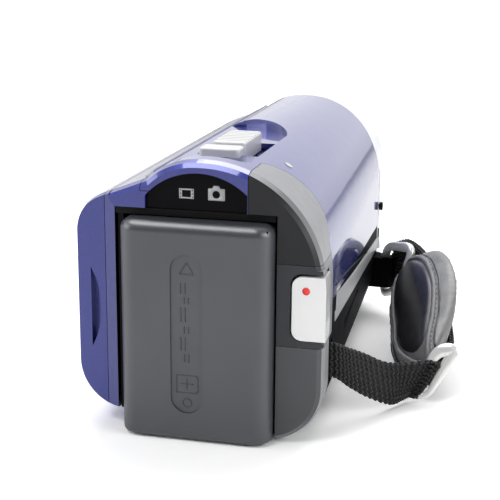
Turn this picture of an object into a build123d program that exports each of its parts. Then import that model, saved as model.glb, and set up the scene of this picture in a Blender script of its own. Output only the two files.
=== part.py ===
from build123d import *
import os
from math import asin, atan2, cos, degrees, radians, sin, sqrt, tan

# Pocket camcorder with a rear battery, a side display and a hand strap. All sizes are in millimetres.
# Frame: the origin is the mouth of the tripod socket in the flat bottom face. +X points to the hand
# strap, +Y to the lens and +Z up.

# ---------------------------------------------------------------- driving dimensions
# battery pack and its bay
battery_width = 31.2
battery_depth = 18.5
battery_height = 45.0
battery_x = 0.4            # middle of the battery, to the strap side of the centre plane
battery_lift = 0.4         # the battery's foot stands this far above the bottom face
battery_proud = 4.0        # how far the battery stands out behind the rear covers
battery_skin = 0.9
battery_corner = 3.6        # its upright rear edges
battery_top_round = 2.2
battery_foot_round = 1.2
rail_depth = 1.0
rail_width = 1.8
rail_setback = 4.5         # rail's middle, behind the battery's front face
bay_wall = 1.2
bay_ceiling = 1.3

# body
rear_reach = 58.0          # tripod socket to the rear covers' face
body_length = 117.5        # rear covers' face to the front ring's face
nose_depth = 2.5           # the front ring's rounded rim
nose_inset = 0.9
bezel_proud = 2.0          # front bezel, beyond the ring's face
window_height = 7.6        # mode window, above the battery bay
window_radius = 14.5       # its arched top
window_x = 0.5
window_half = 10.4         # centre plane to the window's ends
lens_drop = 23.0           # lens axis, below the top line
window_rim = 2.4           # top cover's rim over the mode window
half_width_right_rear = 26.0
half_width_right_front = 22.3
shoulder_right_rear = 24.8  # strap side's top rounding
shoulder_right_front = 20.4
half_width_left_rear = 25.6
half_width_left_front = 25.0
crown_drop = 4.2           # from the top line down to the trim bar's seam
trim_reach = 10.5          # centre plane to the trim bar
roof_slope = 21.0          # degrees, from the trim bar down to the display side
shoulder_radius = 8.0      # display side's top edge
corner_radius_right = 12.0
corner_radius_left = 10.5
corner_lift_left = 3.5     # display side's foot, above the bottom face
foot_reach_left = 9.5      # flat bottom, from the centre plane to the display side
bottom_skim = 0.2          # skimmed off the bottom to make it one plane
rear_edge_inset = 1.3      # rounding of the rear edge
wall = 1.6
seam = 0.12                # gap between two covers that meet edge to edge
ring_length = 16.5         # front ring along the side, from its seam to its face
ring_lean = 5.0            # how much further forward the ring's seam lies at the top

# display panel
panel_thickness = 8.5
panel_gap = 0.3
panel_front = 33.0         # hinge axis, ahead of the tripod socket
hinge_inset = 0.25         # hinge barrel's side, inside the panel's inner face
hinge_cover = 0.45         # panel's outer face over the hinge barrel
screen_width = 62.0
screen_height = 35.0
panel_skin = 1.2
bezel_depth = 2.2
screen_back_room = 1.3     # behind the screen's board, for the panel's rounded edges

# optics
opening_radius = 9.6
bezel_flare = 2.6
barrel_radius = 11.5
barrel_wall = 1.2
barrel_start = 8.0
front_lens_thickness = 6.0
zoom_lens_radius = 6.4
zoom_thickness = 4.0
zoom_rest = 22.0           # back face of the zoom carrier at rest
zoom_travel = 12.0
blade_thickness = 0.6
guide_rod_radius = 0.7
screw_radius = 1.3
motor_radius = 4.0
motor_length = 9.0
motor_gap = 0.1            # motor's side, under the lens barrel

# controls
cover_switch_travel = 8.0
knob_radius = 1.1
knob_z = 27.5
slot_width = 1.5
zoom_lever_width = 7.3
zoom_lever_length = 16.0
zoom_lever_x = 1.1
zoom_lever_y = -29.0
zoom_lever_travel = 2.5
photo_width = 8.6
photo_depth = 5.0
photo_x = 1.1
photo_y = -42.5
photo_travel = 0.8
record_height = 13.0
record_width = 6.4
record_reach = 5.4
record_z = 28.9
record_travel = 0.8
side_button_radius = 2.6

# jack cover on the strap side
jack_length = 25.0
jack_height = 11.0
jack_rear = -25.5
jack_top = 16.6
jack_thickness = 1.5

# tripod socket, 1/4 inch thread
tripod_thread_radius = 3.175
tripod_depth = 5.5
tripod_bush_radius = 5.0

# strap
webbing_thickness = 1.4
pad_thickness = 4.4
ring_wire = 0.8

# clearances
fit_gap = 0.15             # between fixed parts that nest
slide_gap = 0.3            # around a sliding part
pin_gap = 0.05             # radial, shaft in a hole
fabric_gap = 0.3

# ---------------------------------------------------------------- derived places
rear_y = -rear_reach
front_y = rear_y + body_length
rim_y = front_y - nose_depth
battery_x0 = battery_x - battery_width / 2
battery_x1 = battery_x + battery_width / 2
battery_y0 = rear_y - battery_proud
battery_y1 = battery_y0 + battery_depth
bay_top = battery_lift + battery_height + slide_gap + bay_ceiling
body_height = bay_top + window_height + window_rim
lens_z = body_height - lens_drop
panel_x = -(half_width_left_rear - panel_thickness)     # panel's inner face
hinge_radius = (panel_thickness - hinge_inset - hinge_cover) / 2
wall_x = panel_x + panel_gap                            # outer face of the button wall
inner_wall_x = wall_x + wall
ring_seam_y = front_y - ring_length
trim_x = -trim_reach
bay_floor_x0 = battery_x0 - slide_gap - bay_wall
bay_floor_x1 = battery_x1 + slide_gap + bay_wall
bay_front_y = battery_y1 + slide_gap + bay_wall


# ---------------------------------------------------------------- helpers
def across(y):
    """A drawing plane that crosses the body at y; its own axes are x and z."""
    return Plane(origin=(0, y, 0), x_dir=(1, 0, 0), z_dir=(0, -1, 0))


def along(x):
    """A drawing plane that runs along the body at x; its own axes are y and z."""
    return Plane(origin=(x, 0, 0), x_dir=(0, 1, 0), z_dir=(1, 0, 0))


def block(x0, x1, y0, y1, z0, z1):
    return Pos((x0 + x1) / 2, (y0 + y1) / 2, (z0 + z1) / 2) * Box(x1 - x0, y1 - y0, z1 - z0)


def rod_x(y, z, radius, x0, x1):
    return Pos((x0 + x1) / 2, y, z) * Rot(0, 90, 0) * Cylinder(radius, x1 - x0)


def rod_y(x, z, radius, y0, y1):
    return Pos(x, (y0 + y1) / 2, z) * Rot(90, 0, 0) * Cylinder(radius, y1 - y0)


def rod_z(x, y, radius, z0, z1):
    return Pos(x, y, (z0 + z1) / 2) * Cylinder(radius, z1 - z0)


def drawn_across(edges, y0, y1):
    """The closed outline in x and z, filled and carried from y0 to y1."""
    return extrude(across(y1) * make_face(edges), amount=y1 - y0)


def drawn_along(edges, x0, x1):
    """The closed outline in y and z, filled and carried from x0 to x1."""
    return extrude(along(x0) * make_face(edges), amount=x1 - x0)


def drawn_flat(edges, z0, z1):
    """The closed outline in x and y, filled and carried from z0 to z1."""
    return extrude(Plane.XY.offset(z0) * make_face(edges), amount=z1 - z0)


def polygon(*points):
    return Polyline(*points, close=True)


def save(name, shape):
    solids = shape.solids()
    solid = solids[0] if len(solids) == 1 else Compound(children=list(solids))
    export_step(solid, "parts/" + name + ".step")


# ---------------------------------------------------------------- the body's outer form
def strap_side_at(y):
    """How far the strap side stands from the centre plane at y."""
    return half_width_right_rear + (half_width_right_front - half_width_right_rear) * (y - rear_y) / body_length


def shoulder_at(y):
    """Radius of the rounding between the top and the strap side at y."""
    return shoulder_right_rear + (shoulder_right_front - shoulder_right_rear) * (y - rear_y) / body_length


def body_section(y, inset):
    """The body's cross-section at y, pulled in by inset: a round right side and top, a flat bottom,
    and a sloping roof down to the display side."""
    share = (y - rear_y) / body_length
    half_right = strap_side_at(y)
    round_top = shoulder_at(y) - inset
    left = half_width_left_rear + (half_width_left_front - half_width_left_rear) * share
    diagonal = sqrt(0.5)
    side = half_right - inset
    round_x = side - round_top
    round_z = body_height - inset - round_top
    low_x = half_right - corner_radius_right
    corner = corner_radius_right - inset
    # crown: from the top line to the trim bar's seam, where the roof starts
    crown = (trim_reach ** 2 + crown_drop ** 2) / (2 * crown_drop)
    crown_z = body_height - crown
    slope = radians(roof_slope)
    normal = Vector(-sin(slope), cos(slope))
    roof_at = normal.dot(Vector(-trim_reach, body_height - crown_drop - crown_z)) - inset
    seam_along = sqrt((crown - inset) ** 2 - roof_at ** 2)
    kink = normal * roof_at - Vector(cos(slope), sin(slope)) * seam_along + Vector(0, crown_z)
    half_turn = atan2(-kink.X, kink.Y - crown_z) / 2
    crown_middle = (-(crown - inset) * sin(half_turn), crown_z + (crown - inset) * cos(half_turn))
    # shoulder: rounds the roof into the display side
    shoulder_x = shoulder_radius - left
    roof_z = body_height - crown_drop - (-trim_reach - shoulder_x) * tan(slope)
    shoulder_z = roof_z - shoulder_radius / cos(slope)
    shoulder = shoulder_radius - inset
    shoulder_top = (shoulder_x - shoulder * sin(slope), shoulder_z + shoulder * cos(slope))
    halfway = (slope + radians(90)) / 2
    shoulder_middle = (shoulder_x - shoulder * sin(halfway), shoulder_z + shoulder * cos(halfway))
    # the display side's foot, lifted off the bottom face
    foot = corner_radius_left - inset
    foot_x = corner_radius_left - left
    foot_z = corner_radius_left + corner_lift_left
    edges = [
        Line((0, body_height - inset), (round_x, body_height - inset)),
        ThreePointArc((round_x, body_height - inset), (round_x + round_top * diagonal,
                                                       round_z + round_top * diagonal),
                      (side, round_z)),
        Line((side, round_z), (side, corner_radius_right)),
        ThreePointArc((side, corner_radius_right),
                      (low_x + corner * diagonal, corner_radius_right - corner * diagonal), (low_x, inset)),
        Line((low_x, inset), (low_x, inset - bottom_skim)),
        Line((low_x, inset - bottom_skim), (-foot_reach_left, inset - bottom_skim)),
        Line((-foot_reach_left, inset - bottom_skim), (-foot_reach_left, inset)),
        Line((-foot_reach_left, inset), (foot_x, foot_z - foot)),
        ThreePointArc((foot_x, foot_z - foot), (foot_x - foot * diagonal, foot_z - foot * diagonal),
                      (foot_x - foot, foot_z)),
        Line((foot_x - foot, foot_z), (shoulder_x - shoulder, shoulder_z)),
        ThreePointArc((shoulder_x - shoulder, shoulder_z), shoulder_middle, shoulder_top),
        Line(shoulder_top, (kink.X, kink.Y)),
        ThreePointArc((kink.X, kink.Y), crown_middle, (0, body_height - inset)),
    ]
    return across(y) * make_face(edges)


def body_form(inset, y0, y1):
    """The body between two stations, pulled in by inset, with a plane bottom face."""
    form = loft([body_section(y0, inset), body_section(y1, inset)], ruled=True)
    return form & block(-40, 40, y0 - 1, y1 + 1, inset, body_height + 5)


rear_edge = [(rear_y, rear_edge_inset), (rear_y + 0.7, rear_edge_inset * 0.35), (rear_y + 2.4, 0)]
outer_form = body_form(0, rear_y + 2.4, rim_y) + loft([body_section(rim_y, 0), body_section(front_y,
        nose_inset)], ruled=True)
for (y0, inset0), (y1, inset1) in zip(rear_edge, rear_edge[1:]):
    outer_form = outer_form + loft([body_section(y0, inset0), body_section(y1, inset1)], ruled=True)
outer_form = outer_form & block(-40, 40, rear_y - 1, front_y + 1, 0, body_height + 5)
inner_form = body_form(wall, rear_y + wall, front_y + 5)
bevel_foot_z = 46.8        # the wall beside the display leans away from here up to the roof
bevel_reach = 1.15
bevel_rise = 2.0


def beside_panel(inner_x, y1):
    """Everything on the display side of a wall at inner_x, whose top leans towards the display."""
    outline = polygon((-60, -5), (inner_x, -5), (inner_x, bevel_foot_z), (inner_x - bevel_reach,
            bevel_foot_z + bevel_rise),
                      (inner_x - bevel_reach, body_height + 5), (-60, body_height + 5))
    return drawn_across(outline, rear_y - 1, y1)


bay_of_panel = beside_panel(wall_x, panel_front + hinge_radius + 0.7)
panel_hollow = beside_panel(inner_wall_x, panel_front + hinge_radius + 0.7 + wall)
core_form = outer_form - bay_of_panel
core_room = inner_form - panel_hollow
shell = core_form - core_room

# ---------------------------------------------------------------- regions of the covers
big = 90
ring_region = drawn_along(polygon((ring_seam_y, -5), (ring_seam_y, lens_z + 10), (ring_seam_y + ring_lean,
        body_height),
                                  (ring_seam_y + ring_lean, body_height + 5), (big, body_height + 5),
                                  (big, -5)), -40, 40)
behind_ring = drawn_along(polygon((ring_seam_y - seam, -5), (ring_seam_y - seam, lens_z + 10),
                                  (ring_seam_y - seam + ring_lean, body_height),
                                  (ring_seam_y - seam + ring_lean, body_height + 5), (-big,
                                          body_height + 5), (-big, -5)),
                          -40, 40)
groove_rear_z = 28.5
groove_front_z = 21.0
low_region = drawn_along(polygon((rear_y - 5, groove_rear_z), (front_y + 5, groove_front_z), (front_y + 5,
        -5),
                                 (rear_y - 5, -5)), 0, 40) + block(-40, 0, rear_y - 5, front_y + 5, -5, 2.6)
high_region = drawn_along(polygon((rear_y - 5, groove_rear_z + seam), (front_y + 5, groove_front_z + seam),
                                  (front_y + 5, body_height + 5), (rear_y - 5, body_height + 5)),
                                  trim_x + 1, 40)
left_region = block(-40, trim_x - 1, rear_y - 5, front_y + 5, 2.6 + seam, body_height + 5)

# the right rear cover and its band: the band bulges forward at the shoulder
rear_split_x = 10.6
panel_split_low = 20.7
panel_split_high = 37.5
plate_x = bay_floor_x1 + seam
cover_edge_x = battery_x1 + slide_gap + fit_gap


def band_region(grow):
    edge = -46.6 + grow
    outline = [
        Line((rear_y - 5, body_height + 5), (-51.0 + grow, body_height + 5)),
        Line((-51.0 + grow, body_height + 5), (-51.0 + grow, body_height - 2.0)),
        ThreePointArc((-51.0 + grow, body_height - 2.0), (-40.6 + grow, body_height - 9.6), (edge,
                body_height - 17.6)),
        Line((edge, body_height - 17.6), (edge, -5)),
        Line((edge, -5), (rear_y - 5, -5)),
        Line((rear_y - 5, -5), (rear_y - 5, body_height + 5)),
    ]
    return drawn_along(outline, rear_split_x - grow, 40)


band = band_region(0)
band_outside = band_region(seam)
window_z = bay_top + window_height - window_radius


def arch_region(gap):
    """Inside the top cover's arch, above the battery bay."""
    return (rod_y(window_x, window_z, window_radius - gap, rear_y - 5, rear_y + 12)
            & block(-window_half + gap, window_half - gap, rear_y - 5, rear_y + 12, bay_top + gap, 80))


# ---------------------------------------------------------------- top cover, with its control scoop
scoop_floor = body_height - 2.3
scoop_rear = rear_y + 6.0
scoop_front = 2.0
scoop_right = 9.0
scoop_turn = -15.0         # where the scoop's straight right edge starts to curve in


def scoop_outline(grow):
    left = trim_x + 1.0
    right = scoop_right + grow
    return [
        Line((left, scoop_rear - grow), (right - 3, scoop_rear - grow)),
        ThreePointArc((right - 3, scoop_rear - grow), (right - 0.8, scoop_rear + 0.9 - grow), (right,
                scoop_rear + 3)),
        Line((right, scoop_rear + 3), (right, scoop_turn)),
        ThreePointArc((right, scoop_turn), (right - 4.6, scoop_front - 6.5 + grow), (left,
                scoop_front + grow)),
        Line((left, scoop_front + grow), (left, scoop_rear - grow)),
    ]


lever_x0 = zoom_lever_x - zoom_lever_width / 2
lever_x1 = zoom_lever_x + zoom_lever_width / 2
lever_y0 = zoom_lever_y - zoom_lever_length / 2
lever_y1 = zoom_lever_y + zoom_lever_length / 2
lever_well = block(lever_x0 - zoom_lever_travel - slide_gap - 0.3,
                   lever_x1 + zoom_lever_travel + slide_gap + 1.4,
                   lever_y0 - slide_gap, lever_y1 + slide_gap, scoop_floor - 1.6, body_height + 5)
stem_half = 1.5
lever_stem_slot = block(zoom_lever_x - stem_half - zoom_lever_travel - slide_gap,
                        zoom_lever_x + stem_half + zoom_lever_travel + slide_gap,
                        zoom_lever_y - stem_half - slide_gap, zoom_lever_y + stem_half + slide_gap, 30,
                        body_height)
pan_bottom = scoop_floor - 3.0
pan = (drawn_flat(scoop_outline(1.2), pan_bottom, body_height + 3) & core_form & block(
    trim_x + 1, 40, rear_y + wall, front_y, 0, 80)) - band_outside
photo_stem_hole = rod_z(photo_x, photo_y, 1.2 + slide_gap, 30, 70)
rear_strip_top = body_height - crown_drop - wall - 0.7
trim_half = 0.85
trim_setback = 3.6         # the trim bar ends ahead of the rear face
lamp_x = 14.0
lamp_y = -37.5
lamp_round = shoulder_at(lamp_y)
lamp_reach = lamp_x - strap_side_at(lamp_y) + lamp_round
lamp_z = body_height - lamp_round + sqrt(lamp_round ** 2 - lamp_reach ** 2)
lamp_tilt = degrees(asin(lamp_reach / lamp_round))
lamp_place = Pos(lamp_x, lamp_y, lamp_z - 0.45) * Rot(0, lamp_tilt, 0)
board_top = pan_bottom - 2.6
switch_board_posts = [(-7.0, -47.0), (8.0, -47.0), (-7.0, -18.0), (8.0, -18.0)]

top_cover = (shell & high_region & behind_ring) - band_outside - block(-40, plate_x, rear_y - 5,
        bay_front_y + 0.2, -5, bay_top + seam)
top_cover = top_cover + (shell & block(trim_x - 1 + seam, trim_x + 1.1, rear_y - 1,
                                       rear_y + trim_setback - fit_gap,
                                       rear_strip_top + seam, body_height))
top_cover = top_cover - arch_region(0) + pan
top_cover = top_cover - drawn_flat(scoop_outline(0), scoop_floor, body_height + 6)
top_cover = top_cover - lever_well - lever_stem_slot - photo_stem_hole - lamp_place * Cylinder(0.95, 6)
for post_x, post_y in switch_board_posts:
    top_cover = top_cover + rod_z(post_x, post_y, 1.3, board_top, pan_bottom + 0.4)

# ---------------------------------------------------------------- left cover behind the display
button_rows = {"power_button": (-37.5, 42.0), "playback_button": (-37.5, 34.0), "easy_button": (-37.5,
        26.0)}
speaker_y = -22.0
speaker_z = 36.0
card_y0 = -34.0
card_width = 22.0
card_thickness = 2.2
card_z = 7.4
left_cover = (shell & left_region & behind_ring) - block(-40, 40, rear_y - 5, bay_front_y, -5,
                                                         bay_top + seam)
for button_y, button_z in button_rows.values():
    left_cover = left_cover - rod_x(button_y, button_z, side_button_radius + fit_gap, wall_x - 1,
                                    inner_wall_x + 1)
for row in range(3):
    for column in range(5):
        left_cover = left_cover - rod_x(speaker_y - 4 + 2 * column, speaker_z - 2 + 2 * row, 0.5,
                                        wall_x - 1, inner_wall_x + 1)
left_cover = left_cover - block(wall_x - 1, inner_wall_x + 1, card_y0, card_y0 + card_width,
                                card_z - card_thickness / 2,
                                card_z + card_thickness / 2)


# the strip of rear wall between the mode window and the left cover, under the trim bar
left_cover = left_cover + ((shell & block(trim_x - 1.05, trim_x + 1 - seam, rear_y - 1, rear_y + wall,
                                          bay_top + seam, rear_strip_top)) - arch_region(0))
hinge_x = panel_x - hinge_inset - hinge_radius
upper_ear_z = body_height - 13.0
lower_ear_z = 11.0
pin_radius = 1.2


def hinge_ear(z0, z1):
    ear = rod_z(hinge_x, panel_front, hinge_radius, z0, z1)
    root = block(hinge_x, wall_x + 0.5, panel_front - hinge_radius, panel_front + hinge_radius, z0, z1)
    return (ear + root) & outer_form


upper_ear = hinge_ear(upper_ear_z, body_height)
lower_ear = hinge_ear(2.6 + seam, lower_ear_z)
left_cover = left_cover + upper_ear + lower_ear
left_cover = left_cover - rod_z(hinge_x, panel_front, pin_radius, upper_ear_z - 3, upper_ear_z + 2.6)
left_cover = left_cover - rod_z(hinge_x, panel_front, pin_radius, lower_ear_z - 2.6, lower_ear_z + 3)
hinge_pins = [rod_z(hinge_x, panel_front, pin_radius, upper_ear_z - 2.6, upper_ear_z + 2.6),
              rod_z(hinge_x, panel_front, pin_radius, lower_ear_z - 2.6, lower_ear_z + 2.6)]

# ---------------------------------------------------------------- trim bar on the seam of the top
top_trim = (body_form(-0.5, rear_y, front_y) - body_form(wall, rear_y - 1,
                                                         front_y + 1)) & behind_ring & block(
    trim_x - trim_half, trim_x + trim_half, rear_y + trim_setback, front_y, 30, body_height + 5)

# ---------------------------------------------------------------- right rear covers
bay_space = block(-40, plate_x, rear_y + wall, bay_front_y + 0.2, -5, bay_top + seam) + block(
    -40, cover_edge_x, rear_y - 5, rear_y + wall + 0.1, -5, bay_top + seam)
foot_edge = -50.4
foot_region = (band & block(0, 40, rear_y - 5, foot_edge, -5, panel_split_low)) - bay_space
record_region = (band & block(0, 40, rear_y - 5, 0, panel_split_low + seam, panel_split_high)) - bay_space
upper_region = band & block(0, 40, rear_y - 5, 0, panel_split_high + seam, body_height + 5)
right_cover = (shell & upper_region) - bay_space
rear_foot = shell & foot_region
record_x0 = half_width_right_rear - record_width
recess_gap = 0.5
record_round = 2.0
record_z0 = record_z - record_height / 2
record_z1 = record_z + record_height / 2
record_y1 = rear_y + record_reach


def button_prism(grow, y0, y1):
    """The button's outline seen from behind, with its two inner corners round."""
    outline = block(record_x0 - grow, 40, y0, y1, record_z0 - grow, record_z1 + grow)
    corners = [edge for edge in outline.edges().filter_by(Axis.Y) if edge.center().X < 30]
    return fillet(corners, record_round + grow)


record_recess = button_prism(recess_gap, rear_y - 5, record_y1 + record_travel + recess_gap)
record_well = block(record_x0 - recess_gap - 0.8, 40, rear_y, record_y1 + record_travel + recess_gap + 0.8,
                    record_z0 - recess_gap - 0.8, record_z1 + recess_gap + 0.8) & body_form(0.0, rear_y,
                            front_y)
record_panel = (((shell & record_region) + (record_well & band)) - record_recess) & record_region

# ---------------------------------------------------------------- lower housing
screw_places = [(-7.0, 31.0), (11.0, 31.0), (-7.0, -38.8), (11.0, -38.8)]
screw_head_radius = 1.5
screw_shank_radius = 0.8
chassis_base = 9.4
sheet = 1.2
jack_front = jack_rear + jack_length
jack_side = strap_side_at(jack_front)
jack_hinge_x = jack_side - 1.25
jack_hinge_z = jack_top - 2.0
jack_knuckle = 1.85
jack_z0 = jack_top - jack_height
latch_x = 3.2
latch_length = 8.0
latch_travel = 3.0
latch_y0 = bay_front_y + 1.4
latch_y1 = latch_y0 + 3.4
slot_rear_y = -48.6
slot_front_y = -45.4
slot_low_z = 10.2
slot_high_z = 19.4

lower_housing = (shell & low_region & behind_ring) - bay_space
lower_housing = lower_housing - block(cover_edge_x - seam, 40, rear_y - 5, foot_edge + seam, -5, 60)
lower_housing = lower_housing - (band_outside & block(cover_edge_x - seam, 40, rear_y - 5, 0,
                                                      panel_split_low - seam, 60))
tripod_boss = rod_z(0, 0, tripod_bush_radius + 1.6, wall - 0.2, tripod_depth + 1.8)
lower_housing = lower_housing + tripod_boss - rod_z(0, 0, tripod_bush_radius, -1, tripod_depth + 1.0)
jack_shelf = block(15.0, jack_side - 3.6, jack_rear + 1.5, jack_front - 1.5, wall - 0.2,
                   jack_z0 + 0.6) & body_form(
    0.4, rear_y, front_y)
lower_housing = lower_housing + jack_shelf
lower_housing = lower_housing - block(jack_side - 3.6, 40, jack_rear, jack_front, jack_z0,
                                      jack_hinge_z + jack_knuckle + slide_gap)
lower_housing = lower_housing - rod_y(jack_hinge_x, jack_hinge_z, 0.6, jack_rear - 1.4, jack_front + 1.4)
lower_housing = lower_housing - block(10, 40, slot_rear_y, slot_front_y, slot_low_z, slot_high_z)
lower_housing = lower_housing - block(latch_x - latch_length / 2 - latch_travel - slide_gap,
                                      latch_x + latch_length / 2 + slide_gap,
                                      latch_y0, latch_y1, -1, wall + 1)
for screw_x, screw_y in screw_places:
    lower_housing = lower_housing - rod_z(screw_x, screw_y, screw_head_radius + 0.1, -1, 1.1)
    lower_housing = lower_housing - rod_z(screw_x, screw_y, screw_shank_radius + pin_gap, -1, 4)

# ---------------------------------------------------------------- battery bay
bay_cavity = block(battery_x0 - slide_gap, battery_x1 + slide_gap, rear_y - 10, battery_y1 + slide_gap, -5,
                   battery_lift + battery_height + slide_gap)
rail_y = battery_y1 - rail_setback
battery_bay = block(bay_floor_x0, bay_floor_x1, rear_y + wall + fit_gap, bay_front_y, 0.3, bay_top)
battery_bay = battery_bay + block(bay_floor_x0, battery_x1, rear_y + 0.5, rear_y + wall + 1,
                                  bay_top - bay_ceiling, bay_top)
battery_bay = battery_bay + block(inner_wall_x + fit_gap, bay_floor_x1 - 3.0, rear_y + 4.2, bay_front_y,
                                  bay_top - 0.3, bay_top + 1.0)
battery_bay = (battery_bay & core_form) - bay_cavity
rail_z0 = battery_lift + 4.0
for side, wall_at in ((1, battery_x0 - slide_gap), (-1, battery_x1 + slide_gap)):
    tip = wall_at + side * (rail_depth + slide_gap)
    battery_bay = battery_bay + block(min(tip, wall_at - side * 0.4), max(tip, wall_at - side * 0.4),
                                      rail_y - rail_width / 2,
                                      rail_y + rail_width / 2, rail_z0, battery_lift + battery_height - 3)
tongue_z0 = 2.2
tongue_z1 = 3.6
tongue_x0 = 2.6
tongue_x1 = 5.2
battery_bay = battery_bay - block(tongue_x0 - latch_travel - slide_gap, tongue_x1 + slide_gap,
                                  bay_front_y - 3, bay_front_y + 1,
                                  tongue_z0 - slide_gap, tongue_z1 + slide_gap)
terminal_places = [battery_x + step * 3.4 for step in (-1, 0, 1)]
battery_terminals = []
for terminal_x in terminal_places:
    battery_bay = battery_bay - block(terminal_x - 0.7, terminal_x + 0.7, bay_front_y - 2,
                                      bay_front_y + 1, 8.9, 16.1)
    battery_terminals.append(block(terminal_x - 0.6, terminal_x + 0.6, battery_y1 + 0.15,
                                   bay_front_y + 0.8, 9.0, 16.0))

# ---------------------------------------------------------------- mode window and lamps in the rear arch
window_y0 = rear_y + wall + 0.05
window_y1 = window_y0 + 1.2
mode_window = arch_region(-0.6) & block(-40, 40, window_y0, window_y1, bay_top + 0.06, 80)
mode_window = mode_window & block(-window_half + seam, window_half - seam, -90, 0, 0, 90)
mode_window = mode_window + (arch_region(seam) & block(-40, 40, rear_y + 1.0, window_y0 + 0.1,
                                                       bay_top + seam, 80))
lamp_row_z = bay_top + 3.6
mode_lamps = [block(lamp - 1.6, lamp + 1.6, window_y1 + 0.2, window_y1 + 1.4, lamp_row_z - 1.0,
                    lamp_row_z + 1.0)
              for lamp in (-5.0, 3.4)]

# ---------------------------------------------------------------- battery pack
battery_split = battery_y1 - 7.5
battery_block = block(battery_x0, battery_x1, battery_y0, battery_y1, battery_lift,
                      battery_lift + battery_height)
rear_edges = battery_block.edges().filter_by(Axis.Z).sort_by(Axis.Y)[:2]
battery_block = fillet(rear_edges, battery_corner)
for face_place, round_radius in ((-1, battery_top_round), (0, battery_foot_round)):
    rim_edges = battery_block.faces().sort_by(Axis.Z)[face_place].edges()
    battery_block = fillet([edge for edge in rim_edges if edge.center().Y < battery_y1 - 9], round_radius)
battery_skin_inner = block(battery_x0 + battery_skin, battery_x1 - battery_skin,
                           battery_y0 + battery_skin + 0.5,
                           battery_split + 1, battery_lift + battery_skin,
                           battery_lift + battery_height - battery_skin)
label_x = battery_x0 + 14.35
label_width = 6.6
label_height = 33.0
label_z = battery_lift + battery_height / 2 - 0.15
label_outline = [
    Line((label_x - label_width / 2, label_z - label_height / 2 + label_width / 2),
         (label_x - label_width / 2, label_z + label_height / 2 - label_width / 2)),
    ThreePointArc((label_x - label_width / 2, label_z + label_height / 2 - label_width / 2),
                  (label_x, label_z + label_height / 2),
                  (label_x + label_width / 2, label_z + label_height / 2 - label_width / 2)),
    Line((label_x + label_width / 2, label_z + label_height / 2 - label_width / 2),
         (label_x + label_width / 2, label_z - label_height / 2 + label_width / 2)),
    ThreePointArc((label_x + label_width / 2, label_z - label_height / 2 + label_width / 2),
                  (label_x, label_z - label_height / 2),
                  (label_x - label_width / 2, label_z - label_height / 2 + label_width / 2)),
]
label_recess = drawn_across(label_outline, battery_y0 - 1, battery_y0 + 0.35)
battery_case = battery_block & block(-60, 60, -99, battery_split - seam, -5, 90)
battery_case = battery_case - battery_skin_inner - label_recess
battery_lid = battery_block & block(-60, 60, battery_split, battery_y1 + 1, -5, 90)
lid_margin = rail_depth + slide_gap + 1.2
battery_lid = battery_lid - block(battery_x0 + lid_margin, battery_x1 - lid_margin, battery_split - 1,
                                  battery_y1 - battery_skin,
                                  battery_lift + battery_skin, battery_lift + battery_height - battery_skin)
for edge_x, side in ((battery_x0, 1), (battery_x1, -1)):
    groove_tip = edge_x + side * (rail_depth + slide_gap)
    battery_lid = battery_lid - block(min(groove_tip, edge_x - side), max(groove_tip, edge_x - side),
                                      rail_y - rail_width / 2 - slide_gap,
                                      rail_y + rail_width / 2 + slide_gap, -5, 90)
battery_contacts = []
for terminal_x in terminal_places:
    battery_lid = battery_lid - block(terminal_x - 1.0, terminal_x + 1.0, battery_y1 - 0.4,
                                      battery_y1 + 1, 6.0, 19.0)
    battery_contacts.append(block(terminal_x - 1.0, terminal_x + 1.0, battery_y1 - 0.4, battery_y1 - 0.1,
                                  6.0, 19.0))
cell_depth = (battery_y1 - battery_y0 - 2 * battery_skin - 0.5 - 3 * fit_gap) / 2
battery_cells = []
for cell in range(2):
    cell_y = battery_y0 + battery_skin + 0.5 + fit_gap + cell * (cell_depth + fit_gap)
    battery_cells.append(block(battery_x0 + lid_margin + fit_gap, battery_x1 - lid_margin - fit_gap,
                               cell_y, cell_y + cell_depth,
                               battery_lift + battery_skin + fit_gap,
                               battery_lift + battery_height - battery_skin - fit_gap))

# ---------------------------------------------------------------- battery release slide
battery_latch = block(latch_x - latch_length / 2, latch_x + latch_length / 2, latch_y0 + slide_gap,
                      latch_y1 - slide_gap, 0.5, wall + 0.2)
battery_latch = battery_latch + block(latch_x - latch_length / 2 - 0.8, latch_x + latch_length / 2 + 0.8,
                                      latch_y0 - 0.6,
                                      latch_y1 + 1.2, wall + 0.2, wall + 1.2)
battery_latch = battery_latch + block(tongue_x0, tongue_x1, battery_y1 + 0.35, latch_y0 + 1, tongue_z0,
                                      tongue_z1)
for rib in range(5):
    rib_x = latch_x + (rib - 2) * 1.8
    battery_latch = battery_latch - block(rib_x - 0.3, rib_x + 0.3, latch_y0, latch_y1, 0.4, 0.8)

# ---------------------------------------------------------------- front ring, bezel and lens cover
ring_slot_y = ring_seam_y + 1.9
front_ring = (shell & ring_region) - block(18, 40, ring_slot_y - slot_width / 2,
                                           ring_slot_y + slot_width / 2,
                                           knob_z - 5.8, knob_z + cover_switch_travel + 2.2)
bezel_back = rim_y - 0.4
bezel_inset = wall + fit_gap
front_bezel = body_form(bezel_inset, bezel_back, front_y)
front_bezel = front_bezel + loft([body_section(front_y, bezel_inset), body_section(front_y + bezel_proud,
        7.0)], ruled=True)
front_bezel = front_bezel - rod_y(0, lens_z, opening_radius, rim_y - 5, front_y + 5)
flare_depth = bezel_proud + 0.6
flare = Pos(0, front_y + bezel_proud - flare_depth / 2 + 0.01, lens_z) * Rot(-90, 0, 0) * Cone(
    opening_radius, opening_radius + bezel_flare, flare_depth)
front_bezel = front_bezel - flare
mic_places = [-8.0, 8.0]
mic_z = 12.0
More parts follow.
